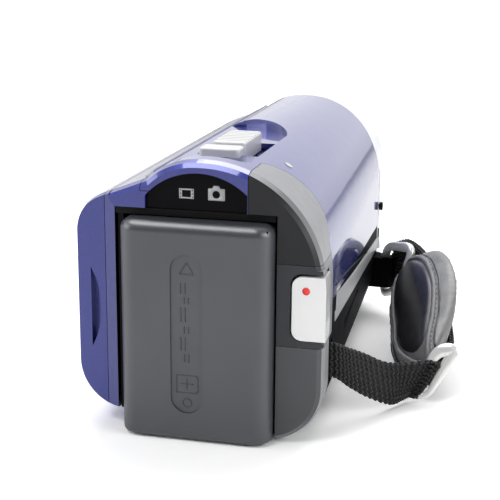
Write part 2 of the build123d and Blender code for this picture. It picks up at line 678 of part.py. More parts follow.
for mic_x in mic_places:
    for bar in (-1, 0, 1):
        front_bezel = front_bezel - block(mic_x - 2.6, mic_x + 2.6, rim_y - 3, front_y + 5,
                                          mic_z + 1.6 * bar - 0.35, mic_z + 1.6 * bar + 0.35)
blade_y1 = bezel_back - slide_gap
blade_y0 = blade_y1 - blade_thickness
plate_y1 = blade_y0 - slide_gap
plate_y0 = plate_y1 - 1.2
blade_travel = opening_radius + 0.2
blade_radius = opening_radius + 0.8
shutter_plate = body_form(bezel_inset, plate_y0, plate_y1)
for side in (-1, 1):
    rail_at = side * (blade_radius + 0.9)
    shutter_plate = shutter_plate + block(rail_at - 0.5, rail_at + 0.5, plate_y1 - 0.2, bezel_back,
                                          lens_z - 14, lens_z + 14)
shutter_plate = shutter_plate - rod_y(0, lens_z, opening_radius + 0.4, rim_y - 9, front_y)
for mic_x in mic_places:
    shutter_plate = shutter_plate - rod_y(mic_x, mic_z, 2.6, rim_y - 9, front_y)
microphones = [rod_y(mic_x, mic_z, 2.5, plate_y0 - 1.0, plate_y1) for mic_x in mic_places]
blade_disc = rod_y(0, lens_z, blade_radius, blade_y0, blade_y1)
lens_blade_upper = Pos(0, 0, blade_travel) * (blade_disc & block(-40, 40, 0, 90, lens_z + 0.05, 90))
lens_blade_lower = Pos(0, 0, -blade_travel) * (blade_disc & block(-40, 40, 0, 90, 0, lens_z - 0.05))
ring_side = strap_side_at(ring_slot_y)
slider_x = ring_side - 5.6
cover_switch = block(slider_x, slider_x + 0.8, ring_slot_y - 1.8, ring_slot_y + 1.8, knob_z - 8.0,
                     knob_z + 8.0)
cover_switch = cover_switch + rod_x(ring_slot_y, knob_z, 0.55, slider_x + 0.4, ring_side + 0.3)
cover_switch = cover_switch + rod_x(ring_slot_y, knob_z, knob_radius, ring_side + 0.2, ring_side + 1.1)

# ---------------------------------------------------------------- lens barrel and its optics
barrel_front = plate_y0 - 0.4
bore = barrel_radius - barrel_wall
lens_barrel = rod_y(0, lens_z, barrel_radius, barrel_start, barrel_front) - rod_y(0, lens_z, bore,
        barrel_start + 1.2, barrel_front + 1)
lens_barrel = lens_barrel - block(-5, 5, barrel_start - 1, barrel_start + 3, lens_z - 4, lens_z + 4)
cell_rear_y1 = zoom_rest - 5.0
cell_front_y0 = zoom_rest + zoom_thickness + zoom_travel + 4.0
cell_front_y1 = barrel_front - front_lens_thickness - 0.2
ring_bore = bore - 2.9
rear_cell = rod_y(0, lens_z, bore + 0.2, barrel_start + 4, cell_rear_y1) - rod_y(0, lens_z, ring_bore,
        barrel_start + 3, 90)
front_cell = rod_y(0, lens_z, bore + 0.2, cell_front_y0, cell_front_y1) - rod_y(0, lens_z, ring_bore, 0, 90)
lens_barrel = lens_barrel + rear_cell + front_cell
rod_places = [-(bore + ring_bore) / 2, (bore + ring_bore) / 2]
guide_rods = [rod_y(place, lens_z, guide_rod_radius, cell_rear_y1 - 2.0,
                    cell_front_y0 + 2.0) for place in rod_places]
for place in rod_places:
    lens_barrel = lens_barrel - rod_y(place, lens_z, guide_rod_radius, cell_rear_y1 - 2.0,
                                      cell_front_y0 + 2.0)
arm_half = 1.2
lens_barrel = lens_barrel - block(-arm_half - slide_gap, arm_half + slide_gap, zoom_rest - 1.0,
                                  zoom_rest + zoom_thickness + zoom_travel + 1.0, 0, lens_z - bore + 2)


def cap_arc(radius, vertex_y, bulge, sign):
    """Half the outline of a spherical cap, from its vertex on the axis out to its rim."""
    ball = (radius ** 2 + bulge ** 2) / (2 * bulge)
    half = asin(radius / ball) / 2
    middle = (vertex_y + sign * ball * (1 - cos(half)), lens_z + ball * sin(half))
    return ThreePointArc((vertex_y, lens_z), middle, (vertex_y + sign * bulge, lens_z + radius))


def lens(radius, y0, thickness, bulge_rear, bulge_front):
    """A round lens whose faces are caps of the given height."""
    y1 = y0 + thickness
    outline = [
        cap_arc(radius, y0, bulge_rear, 1),
        Line((y0 + bulge_rear, lens_z + radius), (y1 - bulge_front, lens_z + radius)),
        cap_arc(radius, y1, bulge_front, -1),
        Line((y1, lens_z), (y0, lens_z)),
    ]
    return revolve(along(0) * make_face(outline), Axis((0, 0, lens_z), (0, 1, 0)), 360)


front_lens = lens(bore - 0.1, barrel_front - front_lens_thickness, front_lens_thickness, 0.8, 2.4)
zoom_lens = lens(zoom_lens_radius, zoom_rest + 0.4, zoom_thickness - 0.8, 0.6, 0.9)
rear_lens = lens(ring_bore, cell_rear_y1 - 4.5, 3.5, 0.8, 0.8)
nut_z = lens_z - barrel_radius - motor_radius - motor_gap
zoom_carrier = rod_y(0, lens_z, bore - 0.3, zoom_rest, zoom_rest + zoom_thickness)
zoom_carrier = zoom_carrier + block(-arm_half, arm_half, zoom_rest + 0.3,
                                    zoom_rest + zoom_thickness - 0.3, nut_z,
                                    lens_z - zoom_lens_radius - 1)
zoom_carrier = zoom_carrier + rod_y(0, nut_z, screw_radius + 1.1, zoom_rest + 0.3,
                                    zoom_rest + zoom_thickness - 0.3)
zoom_carrier = zoom_carrier - rod_y(0, nut_z, screw_radius + pin_gap, 0, 90)
zoom_carrier = zoom_carrier - rod_y(0, lens_z, zoom_lens_radius, 0, 90)
for place in rod_places:
    zoom_carrier = zoom_carrier - rod_y(place, lens_z, guide_rod_radius + pin_gap, 0, 90)
motor_y1 = barrel_start + motor_length
screw_end = cell_front_y0 + 2.4
zoom_motor = rod_y(0, nut_z, motor_radius, barrel_start, motor_y1) - rod_y(0, nut_z,
        screw_radius + pin_gap, motor_y1 - 4, motor_y1 + 1)
zoom_screw = rod_y(0, nut_z, screw_radius, motor_y1 - 3.6, screw_end) - block(
    screw_radius - 0.35, 9, -90, 90, nut_z - 2, nut_z + 2) + rod_y(0, nut_z, screw_radius, motor_y1 - 3.6,
                                                                   screw_end - 2.6)
sensor_board = block(-9.0, 9.0, barrel_start - 2.4, barrel_start - 1.2, lens_z - 9, lens_z + 9)
sensor_chip = block(-4.5, 4.5, barrel_start - 1.2, barrel_start + 0.6, lens_z - 3.6, lens_z + 3.6)

# ---------------------------------------------------------------- chassis and main board
chassis_top = chassis_base + sheet
flange_x0 = inner_wall_x + 1.4
chassis_rear = bay_front_y + 1.0
chassis_front = barrel_front - 9.0
chassis_frame = block(flange_x0, 14.0, chassis_rear, chassis_front, chassis_base, chassis_top)
chassis_frame = chassis_frame + block(flange_x0, flange_x0 + 0.8, chassis_rear, chassis_front,
                                      chassis_base, lens_z + 12)
for screw_x, screw_y in screw_places:
    chassis_frame = chassis_frame + rod_z(screw_x, screw_y, 2.0, wall + 0.05, chassis_base + 0.2)
saddle = block(-9.0, 9.0, barrel_start + 4, barrel_start + 8, chassis_base, lens_z - 4) + block(
    -9.0, 9.0, chassis_front - 6, chassis_front - 3, chassis_base, lens_z - 4)
saddle = saddle - rod_y(0, lens_z, barrel_radius, 0, 90) - block(-motor_radius - 0.6, motor_radius + 0.6,
                                                                 0, 90, chassis_base, 90)
chassis_frame = chassis_frame + saddle
motor_bracket = block(-motor_radius, motor_radius, barrel_start + 0.5, motor_y1 - 1.0, chassis_base,
                      nut_z) - rod_y(
    0, nut_z, motor_radius, 0, 90)
screw_tab = block(-2.6, 2.6, screw_end - 2.2, screw_end - 0.6, chassis_base,
                  nut_z + screw_radius + 0.9) - rod_y(0, nut_z, screw_radius + pin_gap, 0, 90)
chassis_frame = chassis_frame + motor_bracket + screw_tab
chassis_frame = chassis_frame - rod_y(0, lens_z, barrel_radius, barrel_start, barrel_front)
for screw_x, screw_y in screw_places:
    chassis_frame = chassis_frame - rod_z(screw_x, screw_y, screw_shank_radius, 0, chassis_base + 2)
board_x0 = flange_x0 + 1.4
board_x1 = board_x0 + 0.9
standoff_places = [(-34.0, 14.0), (-34.0, 40.0), (0.0, 40.0), (0.0, 14.0)]
for post_y, post_z in standoff_places:
    chassis_frame = chassis_frame + rod_x(post_y, post_z, 1.6, flange_x0 + 0.6, board_x0)
main_board = block(board_x0, board_x1, chassis_rear + 1.5, 6.0, chassis_top + 0.6, lens_z + 11)
chip_places = [(-31.0, 34.0, 9.0, 9.0, 1.0), (-18.0, 34.0, 11.0, 11.0, 1.2), (-30.0, 18.0, 10.0, 6.0,
        0.8), (-12.0, 18.0, 6.0, 8.0, 1.0),
               (-3.0, 26.0, 5.0, 5.0, 0.9), (-20.0, 20.0, 4.0, 4.0, 0.8)]
board_chips = [block(board_x1, board_x1 + tall, chip_y - long / 2, chip_y + long / 2, chip_z - high / 2,
                     chip_z + high / 2)
               for chip_y, chip_z, long, high, tall in chip_places]
screws = []
for screw_x, screw_y in screw_places:
    screw = rod_z(screw_x, screw_y, screw_head_radius, 0.2, 1.1) + rod_z(screw_x, screw_y,
            screw_shank_radius, 1.0, chassis_base - 0.6)
    screw = screw - block(screw_x - 0.9, screw_x + 0.9, screw_y - 0.2, screw_y + 0.2, 0, 0.6) - block(
        screw_x - 0.2, screw_x + 0.2, screw_y - 0.9, screw_y + 0.9, 0, 0.6)
    screws.append(screw)
tripod_bush = rod_z(0, 0, tripod_bush_radius, 0, tripod_depth + 1.0) - rod_z(0, 0, tripod_thread_radius,
        -1, tripod_depth)
speaker = rod_x(speaker_y, speaker_z, 6.5, inner_wall_x + 0.1, inner_wall_x + 1.2)
card_slot = block(inner_wall_x + 0.1, 8.0, card_y0 - 0.7, card_y0 + card_width + 0.7, chassis_base - 3.9,
                  chassis_base - 0.2)
card_slot = card_slot - block(-40, 7.2, card_y0, card_y0 + card_width, card_z - card_thickness / 2,
                              card_z + card_thickness / 2)

# ---------------------------------------------------------------- top controls
lever_top = body_height + 0.5
zoom_lever = block(lever_x0, lever_x1, lever_y0, lever_y1, scoop_floor - 1.3, lever_top)
zoom_lever = fillet(zoom_lever.edges().filter_by(Axis.Z), 1.2)
zoom_lever = fillet(zoom_lever.faces().sort_by(Axis.Z)[-1].edges(), 0.5)
rib_count = 7
for rib in range(rib_count):
    rib_y = lever_y0 + 2.0 + rib * (zoom_lever_length - 4.0) / (rib_count - 1)
    zoom_lever = zoom_lever - block(lever_x0 - 1, lever_x1 + 1, rib_y - 0.25, rib_y + 0.25,
                                    lever_top - 0.35, lever_top + 1)
zoom_lever = zoom_lever + block(zoom_lever_x - stem_half, zoom_lever_x + stem_half,
                                zoom_lever_y - stem_half, zoom_lever_y + stem_half,
                                board_top + 0.9, scoop_floor - 1.0)
photo_bottom = scoop_floor + photo_travel + 0.15
photo_button = block(photo_x - photo_width / 2, photo_x + photo_width / 2, photo_y - photo_depth / 2,
                     photo_y + photo_depth / 2,
                     photo_bottom, body_height + 0.4)
photo_button = fillet(photo_button.edges().filter_by(Axis.Z), 1.0)
photo_button = fillet(photo_button.faces().sort_by(Axis.Z)[-1].edges(), 0.5)
photo_button = photo_button + rod_z(photo_x, photo_y, 1.2, board_top + 1.0, photo_bottom + 0.2)
switch_board = block(-9.0, 10.0, -48.0, -16.0, board_top - 1.0, board_top)
charge_lamp = lamp_place * Cylinder(0.9, 1.0)

# ---------------------------------------------------------------- start/stop button at the rear corner
record_form = body_form(-0.35, rear_y - 0.4, front_y)
record_button = record_form & button_prism(0, rear_y - 0.4, record_y1)
record_button = record_button - (body_form(1.3, rear_y + 1.3, front_y) & block(record_x0 + 1.2, 40,
        rear_y + 1.3, 0, record_z0 + 1.2,
                                                                              record_z1 - 1.2))

# ---------------------------------------------------------------- side buttons under the display
side_buttons = {}
for button_name, (button_y, button_z) in button_rows.items():
    side_buttons[button_name] = rod_x(button_y, button_z, side_button_radius, wall_x, inner_wall_x + 0.8)

# ---------------------------------------------------------------- display panel
panel_rear = rear_y + 1.0
panel_end = panel_front - hinge_radius - 0.6
bezel_x = panel_x - bezel_depth
screen_board_x = panel_skin + screen_back_room - half_width_left_rear
screen_board_thickness = 1.2
panel_form = outer_form & beside_panel(panel_x, panel_end) & block(-60, 0, panel_rear, panel_end, -5, 80)
display_shell = panel_form & block(-60, bezel_x, -90, 90, -5, 90)
display_room = body_form(panel_skin, rear_y, front_y) & block(-60, bezel_x + 1, panel_rear + panel_skin,
                                                              panel_end - panel_skin, -5, 90)
display_shell = display_shell - display_room
notch_z0 = 17.0
notch_z1 = 34.0
notch_outline = [
    Line((-22.5, notch_z0), (-22.5, notch_z1)),
    ThreePointArc((-22.5, notch_z1), (-20.4, (notch_z0 + notch_z1) / 2), (-22.5, notch_z0)),
]
notch = drawn_across(notch_outline, panel_rear - 1, panel_rear + 2.2)
notch_wall = block(-24.0, bezel_x, panel_rear, panel_rear + 3.2, notch_z0 - 1.5,
                   notch_z1 + 1.5) & panel_form
display_shell = display_shell + notch_wall - notch
screen_y = (panel_rear + panel_end) / 2 + 2
screen_z = body_height / 2 - 1.3
window_gap = 0.1
screen_window = block(-60, 0, screen_y - screen_width / 2, screen_y + screen_width / 2,
                      screen_z - screen_height / 2,
                      screen_z + screen_height / 2)
display_bezel = (panel_form & block(bezel_x + seam, 0, -90, 90, -5, 90)) - screen_window
display_glass = block(panel_x - 1.2, panel_x - 0.15, screen_y - screen_width / 2 + window_gap,
                      screen_y + screen_width / 2 - window_gap,
                      screen_z - screen_height / 2 + window_gap, screen_z + screen_height / 2 - window_gap)
display_module = block(screen_board_x + screen_board_thickness + 0.1, bezel_x - 0.1,
                       screen_y - screen_width / 2 - 2, screen_y + screen_width / 2 + 2,
                       screen_z - screen_height / 2 - 1.5, screen_z + screen_height / 2 + 1.5)
display_module = display_module + block(bezel_x - 0.2, panel_x - 1.3, screen_y - screen_width / 2 + 0.3,
                                        screen_y + screen_width / 2 - 0.3,
                                        screen_z - screen_height / 2 + 0.3,
                                        screen_z + screen_height / 2 - 0.3)
display_board = block(screen_board_x, screen_board_x + screen_board_thickness, screen_y - 22,
                      screen_y + 22, screen_z - 14, screen_z + 14)
display_barrel = rod_z(hinge_x, panel_front, hinge_radius, lower_ear_z + 0.3, upper_ear_z - 0.3)
for z0, z1 in ((upper_ear_z - 3.0, upper_ear_z), (lower_ear_z, lower_ear_z + 3.0)):
    display_barrel = display_barrel - rod_z(hinge_x, panel_front, pin_radius + pin_gap, z0, z1)
swivel_radius = 1.4
swivel_shaft = rod_y(hinge_x, screen_z, swivel_radius, panel_end - 4.0, panel_front - 2.0)
display_barrel = display_barrel - rod_y(hinge_x, screen_z, swivel_radius, 0, panel_front - 2.0)
display_shell = display_shell - rod_y(hinge_x, screen_z, swivel_radius, panel_end - 2.0, panel_end + 1)

# ---------------------------------------------------------------- jack cover and jacks
jack_cover = (outer_form - body_form(jack_thickness, rear_y - 1, front_y + 1)) & block(
    jack_side - 5, 40, jack_rear + slide_gap, jack_front - slide_gap, jack_z0 + slide_gap, jack_hinge_z)
jack_cover = jack_cover + (rod_y(jack_hinge_x, jack_hinge_z, jack_knuckle, jack_rear + slide_gap,
                                 jack_front - slide_gap) & outer_form
                           & block(jack_hinge_x - 1.25, 40, -90, 90, 0, 90))
jack_cover = jack_cover - rod_y(jack_hinge_x, jack_hinge_z, 0.6 + pin_gap, -90, 90)
jack_hinge_pin = rod_y(jack_hinge_x, jack_hinge_z, 0.6, jack_rear - 1.2, jack_front + 1.2)
jack_block = block(jack_side - 9.5, jack_side - 4.0, jack_rear + 1.2, jack_front - 1.2, jack_z0 + 0.75,
                   jack_top - 2.4)
jack_block = jack_block - block(jack_side - 8, 40, jack_rear + 2.4, jack_rear + 13.0, jack_z0 + 3.0,
                                jack_z0 + 6.2)
jack_block = jack_block - rod_x(jack_rear + 19.0, jack_z0 + 4.6, 2.4, jack_side - 8, 40) + rod_x(
    jack_rear + 19.0, jack_z0 + 4.6, 0.7, jack_side - 8.2, jack_side - 4.6)

# ---------------------------------------------------------------- hand strap
def wire_loop(points, radius):
    """A closed loop of round wire with round corners."""
    loop = None
    for here, there in zip(points, points[1:] + points[:1]):
        run = Vector(*there) - Vector(*here)
        bar = Solid.make_cylinder(radius, run.length, Plane(origin=here,
                                                            z_dir=run)) + Pos(*here) * Sphere(radius)
        loop = bar if loop is None else loop + bar
    return loop


def flat_band(stations, thickness):
    """A band of fabric: each station gives its low edge and its high edge."""
    middles = [(Vector(*low) + Vector(*high)) / 2 for low, high in stations]
    faces = []
    for place, (low, high) in enumerate(stations):
        ahead = middles[min(place + 1, len(middles) - 1)] - middles[max(place - 1, 0)]
        side = ahead.cross(Vector(*high) - Vector(*low)).normalized() * (thickness / 2)
        corners = [Vector(*low) - side, Vector(*high) - side, Vector(*high) + side, Vector(*low) + side]
        faces.append(make_face(Polyline(*corners, close=True)))
    return loft(faces, ruled=True)


strap_rear = [
    ((22.8, -47.2, 10.9), (22.8, -47.2, 18.7)),
    ((26.6, -46.4, 10.7), (26.4, -46.4, 18.5)),
    ((29.6, -43.6, 7.6), (28.6, -43.6, 16.8)),
    ((33.1, -39.2, 4.0), (31.4, -39.4, 14.4)),
    ((36.8, -34.2, 1.0), (35.4, -34.0, 10.9)),
    ((38.4, -31.6, 0.9), (39.6, -29.9, 9.8)),
    ((39.6, -29.0, 1.1), (45.2, -26.4, 10.2)),
]
pad_stations = [
    ((41.4, -24.5, 2.4), (48.0, -21.8, 12.4)),
    ((38.2, -17.0, 2.6), (48.8, -14.5, 16.6)),
    ((35.2, -9.0, 3.6), (48.6, -8.0, 20.6)),
    ((33.2, -2.0, 5.4), (47.6, -2.0, 23.4)),
    ((32.0, 5.0, 7.2), (45.6, 5.0, 25.0)),
    ((31.2, 12.0, 8.6), (43.2, 12.0, 25.0)),
    ((30.9, 19.0, 10.0), (40.2, 19.0, 23.0)),
    ((31.2, 24.5, 11.6), (36.8, 24.5, 19.6)),
]
strap_webbing_rear = flat_band(strap_rear, webbing_thickness)
strap_pad = flat_band(pad_stations, pad_thickness)
outer_half = 5.2           # half the outer webbing's width
outer_offset = pad_thickness / 2 + webbing_thickness / 2 + fabric_gap + 0.3
strap_outer = [((44.9, -26.8, 2.4), (49.2, -24.1, 10.6))]
for place in range(1, len(pad_stations)):
    low, high = Vector(*pad_stations[place][0]), Vector(*pad_stations[place][1])
    before = (Vector(*pad_stations[place - 1][0]) + Vector(*pad_stations[place - 1][1])) / 2
    middle = (low + high) / 2
    width = (high - low).normalized()
    outward = (middle - before).cross(high - low).normalized()
    centre = middle + outward * outer_offset
    half = min(outer_half, (high - low).length / 2 - 0.4)
    strap_outer.append((tuple(centre - width * half), tuple(centre + width * half)))
strap_webbing_outer = flat_band(strap_outer, webbing_thickness) - flat_band(pad_stations,
        pad_thickness + 2 * fabric_gap)
ring_rear_points = [(40.6, -28.0, 1.5), (46.4, -25.0, 9.8), (50.0, -25.2, 11.4), (44.6, -28.2, 1.5)]
ring_front_points = [(26.6, 36.0, 4.6), (26.6, 36.0, 18.0), (35.2, 27.4, 21.0), (31.4, 27.6, 10.8)]
strap_rings = [wire_loop(ring_rear_points, ring_wire), wire_loop(ring_front_points, ring_wire)]
lug_pin_x, lug_pin_y = ring_front_points[0][:2]
lug_wall = 1.1
lug_round = ring_wire + slide_gap + lug_wall
strap_lug = drawn_flat([
    Line((20, lug_pin_y - lug_round), (lug_pin_x, lug_pin_y - lug_round)),
    ThreePointArc((lug_pin_x, lug_pin_y - lug_round), (lug_pin_x + lug_round, lug_pin_y), (lug_pin_x,
            lug_pin_y + lug_round)),
    Line((lug_pin_x, lug_pin_y + lug_round), (20, lug_pin_y + lug_round + 4.5)),
    Line((20, lug_pin_y + lug_round + 4.5), (20, lug_pin_y - lug_round)),
], 7.4, 15.6)
strap_lug = strap_lug - core_form - rod_z(lug_pin_x, lug_pin_y, ring_wire + slide_gap, 0, 30)
lower_housing = lower_housing + strap_lug

os.makedirs("parts", exist_ok=True)
for name, shape in {
    "top_cover": top_cover, "left_cover": left_cover, "right_cover": right_cover,
    "record_panel": record_panel,
    "rear_foot": rear_foot, "lower_housing": lower_housing, "battery_bay": battery_bay,
    "mode_window": mode_window,
    "top_trim": top_trim, "front_ring": front_ring, "front_bezel": front_bezel,
    "shutter_plate": shutter_plate,
    "lens_blade_upper": lens_blade_upper, "lens_blade_lower": lens_blade_lower,
    "cover_switch": cover_switch,
    "lens_barrel": lens_barrel, "front_lens": front_lens, "zoom_lens": zoom_lens,
    "rear_lens": rear_lens, "zoom_carrier": zoom_carrier, "zoom_motor": zoom_motor,
    "zoom_screw": zoom_screw,
    "sensor_board": sensor_board, "sensor_chip": sensor_chip, "chassis_frame": chassis_frame,
    "main_board": main_board,
    "tripod_bush": tripod_bush, "speaker": speaker, "card_slot": card_slot, "zoom_lever": zoom_lever,
    "photo_button": photo_button, "switch_board": switch_board, "record_button": record_button,
    "display_shell": display_shell, "display_bezel": display_bezel, "display_glass": display_glass,
    "display_barrel": display_barrel,
    "swivel_shaft": swivel_shaft, "jack_cover": jack_cover, "jack_block": jack_block,
    "strap_pad": strap_pad, "strap_webbing_rear": strap_webbing_rear,
    "strap_webbing_outer": strap_webbing_outer,
    "battery_case": battery_case, "battery_lid": battery_lid, "battery_latch": battery_latch,
    "power_button": side_buttons["power_button"], "playback_button": side_buttons["playback_button"],
    "easy_button": side_buttons["easy_button"],
}.items():
    save(name, shape)
hinge_pins.append(jack_hinge_pin)
for name, group in {"indicator_lamps": mode_lamps + [charge_lamp], "display_module": [display_module,
        display_board],
                    "strap_rings": strap_rings, "hinge_pins": hinge_pins, "guide_rods": guide_rods,
                    "battery_cells": battery_cells,
                    "battery_contacts": battery_contacts, "battery_terminals": battery_terminals,
                    "microphones": microphones,
                    "housing_screws": screws, "board_chips": board_chips}.items():
    save(name, Compound(children=group))
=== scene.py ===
import bpy
import bmesh
from math import cos, pi, radians, sin
from mathutils import Matrix, Vector
from mathutils.bvhtree import BVHTree


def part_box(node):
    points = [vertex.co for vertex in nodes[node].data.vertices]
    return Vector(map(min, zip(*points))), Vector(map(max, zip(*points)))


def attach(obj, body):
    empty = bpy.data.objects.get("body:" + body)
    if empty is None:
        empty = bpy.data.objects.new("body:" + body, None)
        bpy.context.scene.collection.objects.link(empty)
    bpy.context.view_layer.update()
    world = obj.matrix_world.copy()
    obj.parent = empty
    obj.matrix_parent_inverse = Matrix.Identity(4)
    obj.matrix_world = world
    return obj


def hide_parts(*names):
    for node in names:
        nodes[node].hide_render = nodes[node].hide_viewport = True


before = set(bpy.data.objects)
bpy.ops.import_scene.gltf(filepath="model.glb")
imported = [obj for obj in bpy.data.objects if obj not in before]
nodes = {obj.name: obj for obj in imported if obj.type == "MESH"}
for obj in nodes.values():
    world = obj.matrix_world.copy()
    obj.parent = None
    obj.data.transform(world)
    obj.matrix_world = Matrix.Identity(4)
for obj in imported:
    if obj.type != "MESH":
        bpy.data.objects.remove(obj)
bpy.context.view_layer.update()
MM = 0.001
DOUBLES = 1e-7              # points closer than this, in metres, are one
scene = bpy.context.scene
scene.view_settings.view_transform = "Standard"


# ---------------------------------------------------------------- finishes
class Finish:
    """One material and the few nodes that most of them share."""

    def __init__(self, name, **sockets):
        self.material = bpy.data.materials.new(name)
        self.material.use_nodes = True
        self.tree = self.material.node_tree
        self.shader = self.tree.nodes["Principled BSDF"]
        self.place = self.tree.nodes.new("ShaderNodeTexCoord").outputs["Object"]
        for socket, value in sockets.items():
            self.shader.inputs[socket.replace("_", " ")].default_value = value

    def node(self, kind, values=(), **settings):
        made = self.tree.nodes.new(kind)
        for key, value in settings.items():
            setattr(made, key, value)
        for key, value in dict(values).items():
            if isinstance(value, bpy.types.NodeSocket):
                self.tree.links.new(value, made.inputs[key])
            else:
                made.inputs[key].default_value = value
        return made

    def noise(self, size, detail=2.0, stretch=None):
        """Grain whose lumps are about size millimetres across."""
        place = self.place
        if stretch:
            place = self.node("ShaderNodeMapping", {"Vector": place, "Scale": stretch}).outputs["Vector"]
        grain = self.node("ShaderNodeTexNoise",
                          {"Vector": place, "Scale": 1.0 / (size * MM), "Detail": detail})
        return grain.outputs["Fac"]

    def span(self, value, low, high, from_low=0.3, from_high=0.7):
        return self.node("ShaderNodeMapRange", {"Value": value, "From Min": from_low, "From Max": from_high,
                                                "To Min": low, "To Max": high}).outputs["Result"]

    def colours(self, value, low, high):
        mix = self.node("ShaderNodeMix", {"Factor": value}, data_type="RGBA")
        mix.inputs["A"].default_value = (*low, 1)
        mix.inputs["B"].default_value = (*high, 1)
        return mix.outputs["Result"]

    def bump(self, height, depth, strength=1.0, below=None):
        values = {"Height": height, "Distance": depth * MM, "Strength": strength}
        if below is not None:
            values["Normal"] = below
        return self.node("ShaderNodeBump", values).outputs["Normal"]

    def into(self, socket, value):
        self.tree.links.new(value, self.shader.inputs[socket])


def moulded_plastic(name, dark, light, rough, grain, depth, patches=14.0, **sockets):
    """Plastic with a fine spark-eroded grain and a slight drift of tone and polish."""
    made = Finish(name, **sockets)
    drift = made.noise(patches, 3.0)
    made.into("Base Color", made.colours(made.span(drift, 0, 1), dark, light))
    made.into("Roughness", made.span(made.noise(3.0, 3.0), rough * 0.97, rough * 1.04))
    fine = made.bump(made.noise(grain, 2.0), depth)
    made.into("Normal", made.bump(drift, 0.05, 0.15, below=fine))
    return made.material


def lacquer(name, deep, lit, **sockets):
    """Metallic lacquer: a soft flake under a deep clear coat, with a trace of orange peel."""
    made = Finish(name, Metallic=0.55, Coat_Weight=1.0, Coat_Roughness=0.05, Coat_IOR=1.55, **sockets)
    flake = made.node("ShaderNodeTexVoronoi", {"Vector": made.place, "Scale": 1 / (0.10 * MM)})
    sparkle = made.span(flake.outputs["Color"], 0, 1, 0.0, 1.0)
    made.into("Base Color", made.colours(sparkle, deep, lit))
    made.into("Roughness", made.span(made.noise(5.0, 3.0), 0.33, 0.345))
    made.into("Normal", made.bump(sparkle, 0.004, 0.15))
    made.into("Coat Normal", made.bump(made.noise(30.0, 1.0), 0.01, 0.02))
    return made.material


def two_tone(name, deep, lit, black):
    """The display's inner half: lacquered outside, plain black on the face that meets the body."""
    made = Finish(name, Coat_Weight=1.0, Coat_Roughness=0.05, Coat_IOR=1.6)
    inward = made.tree.nodes["Texture Coordinate"].outputs["Normal"]
    split = made.node("ShaderNodeSeparateXYZ", {0: inward})
    facing = made.span(split.outputs["X"], 0, 1, 0.55, 0.65)
    flake = made.node("ShaderNodeTexVoronoi", {"Vector": made.place, "Scale": 1 / (0.10 * MM)})
    paint = made.colours(made.span(flake.outputs["Color"], 0, 1, 0, 1), deep, lit)
    mix = made.node("ShaderNodeMix", {"Factor": facing}, data_type="RGBA")
    made.tree.links.new(paint, mix.inputs["A"])
    mix.inputs["B"].default_value = (*black, 1)
    made.into("Base Color", mix.outputs["Result"])
    made.into("Roughness", made.span(made.noise(5.0, 3.0), 0.30, 0.38))
    made.into("Normal", made.bump(made.noise(0.2), 0.006, 0.4))
    return made.material


def painted_sheen_paint(name, face_on, painted_sheen_colour, rough):
    """Satin metallic paint over a fine grain whose base colour is dark face on and pale at low angles to the
    viewer: the pale band is a painted sheen.
    """
    made = Finish(name, Metallic=0.25, Specular_IOR_Level=0.35)
    # the angle to the viewer sets the base colour, so the pale low-angle colour is a painted sheen
    angle = made.node("ShaderNodeLayerWeight", {"Blend": 0.5}).outputs["Facing"]
    drift = made.span(made.noise(14.0, 3.0), -0.02, 0.02, 0, 1)
    sheen_share = made.node("ShaderNodeMath", {0: made.span(angle, 0, 1, 0.34, 0.62), 1: drift}).outputs[0]
    made.into("Base Color", made.colours(sheen_share, face_on, painted_sheen_colour))
    made.into("Roughness", made.span(made.noise(3.0, 3.0), rough * 0.9, rough * 1.12))
    made.into("Normal", made.bump(made.noise(0.16, 2.0), 0.012))
    return made.material


def metal(name, colour, worn, rough, streak=(1, 1, 1), depth=0.01):
    """Bare or plated metal with fine drawn streaks and dulled patches."""
    made = Finish(name, Metallic=1.0)
    streaks = made.noise(0.5, 4.0, stretch=streak)
    made.into("Base Color", made.colours(made.span(made.noise(4.0, 3.0), 0, 1), colour, worn))
    made.into("Roughness", made.span(streaks, rough * 0.7, rough * 1.5))
    made.into("Normal", made.bump(streaks, depth, 0.4))
    return made.material


def clear_glass(name, tint, rough=0.02):
    """Coated glass: dark inside, with a faint coloured sheen painted into its base colour at low angles to
    the viewer.
    """
    made = Finish(name, Coat_Weight=1.0, Coat_Roughness=0.02, IOR=1.6)
    smudge = made.noise(6.0, 4.0)
    # the tint grows towards low angles to the viewer: a painted sheen
    facing = made.node("ShaderNodeLayerWeight", {"Blend": 0.35}).outputs["Facing"]
    made.into("Base Color", made.colours(facing, tuple(c * 0.35 for c in tint), tint))
    made.into("Roughness", made.span(smudge, rough, rough * 3 + 0.02))
    made.into("Normal", made.bump(smudge, 0.01, 0.05))
    return made.material


def board_green(name):
    """Solder mask with faint copper tracks under it."""
    made = Finish(name, Coat_Weight=0.6, Coat_Roughness=0.15)
    track = made.node("ShaderNodeTexBrick", {"Vector": made.place, "Scale": 900.0, "Mortar Size": 0.03})
    made.into("Base Color", made.colours(track.outputs["Fac"], (0.01, 0.10, 0.04), (0.03, 0.22, 0.10)))
    made.into("Roughness", made.span(made.noise(2.0), 0.3, 0.5))
    made.into("Normal", made.bump(track.outputs["Fac"], 0.03, 0.6))
    return made.material


def fabric(name, dark, light, thread, rough, sheen):
    """Dull woven thread: fine twisted fibres, with lint that catches the light."""
    made = Finish(name, Sheen_Weight=sheen, Sheen_Roughness=0.45, Specular_IOR_Level=0.35)
    fibres = made.noise(thread, 3.0, stretch=(1.0, 1.0, 1.6))
    made.into("Base Color", made.colours(made.span(fibres, 0, 1), dark, light))
    made.into("Roughness", made.span(fibres, rough, rough * 0.8))
    made.into("Normal", made.bump(fibres, 0.06, 0.7))
    return made.material


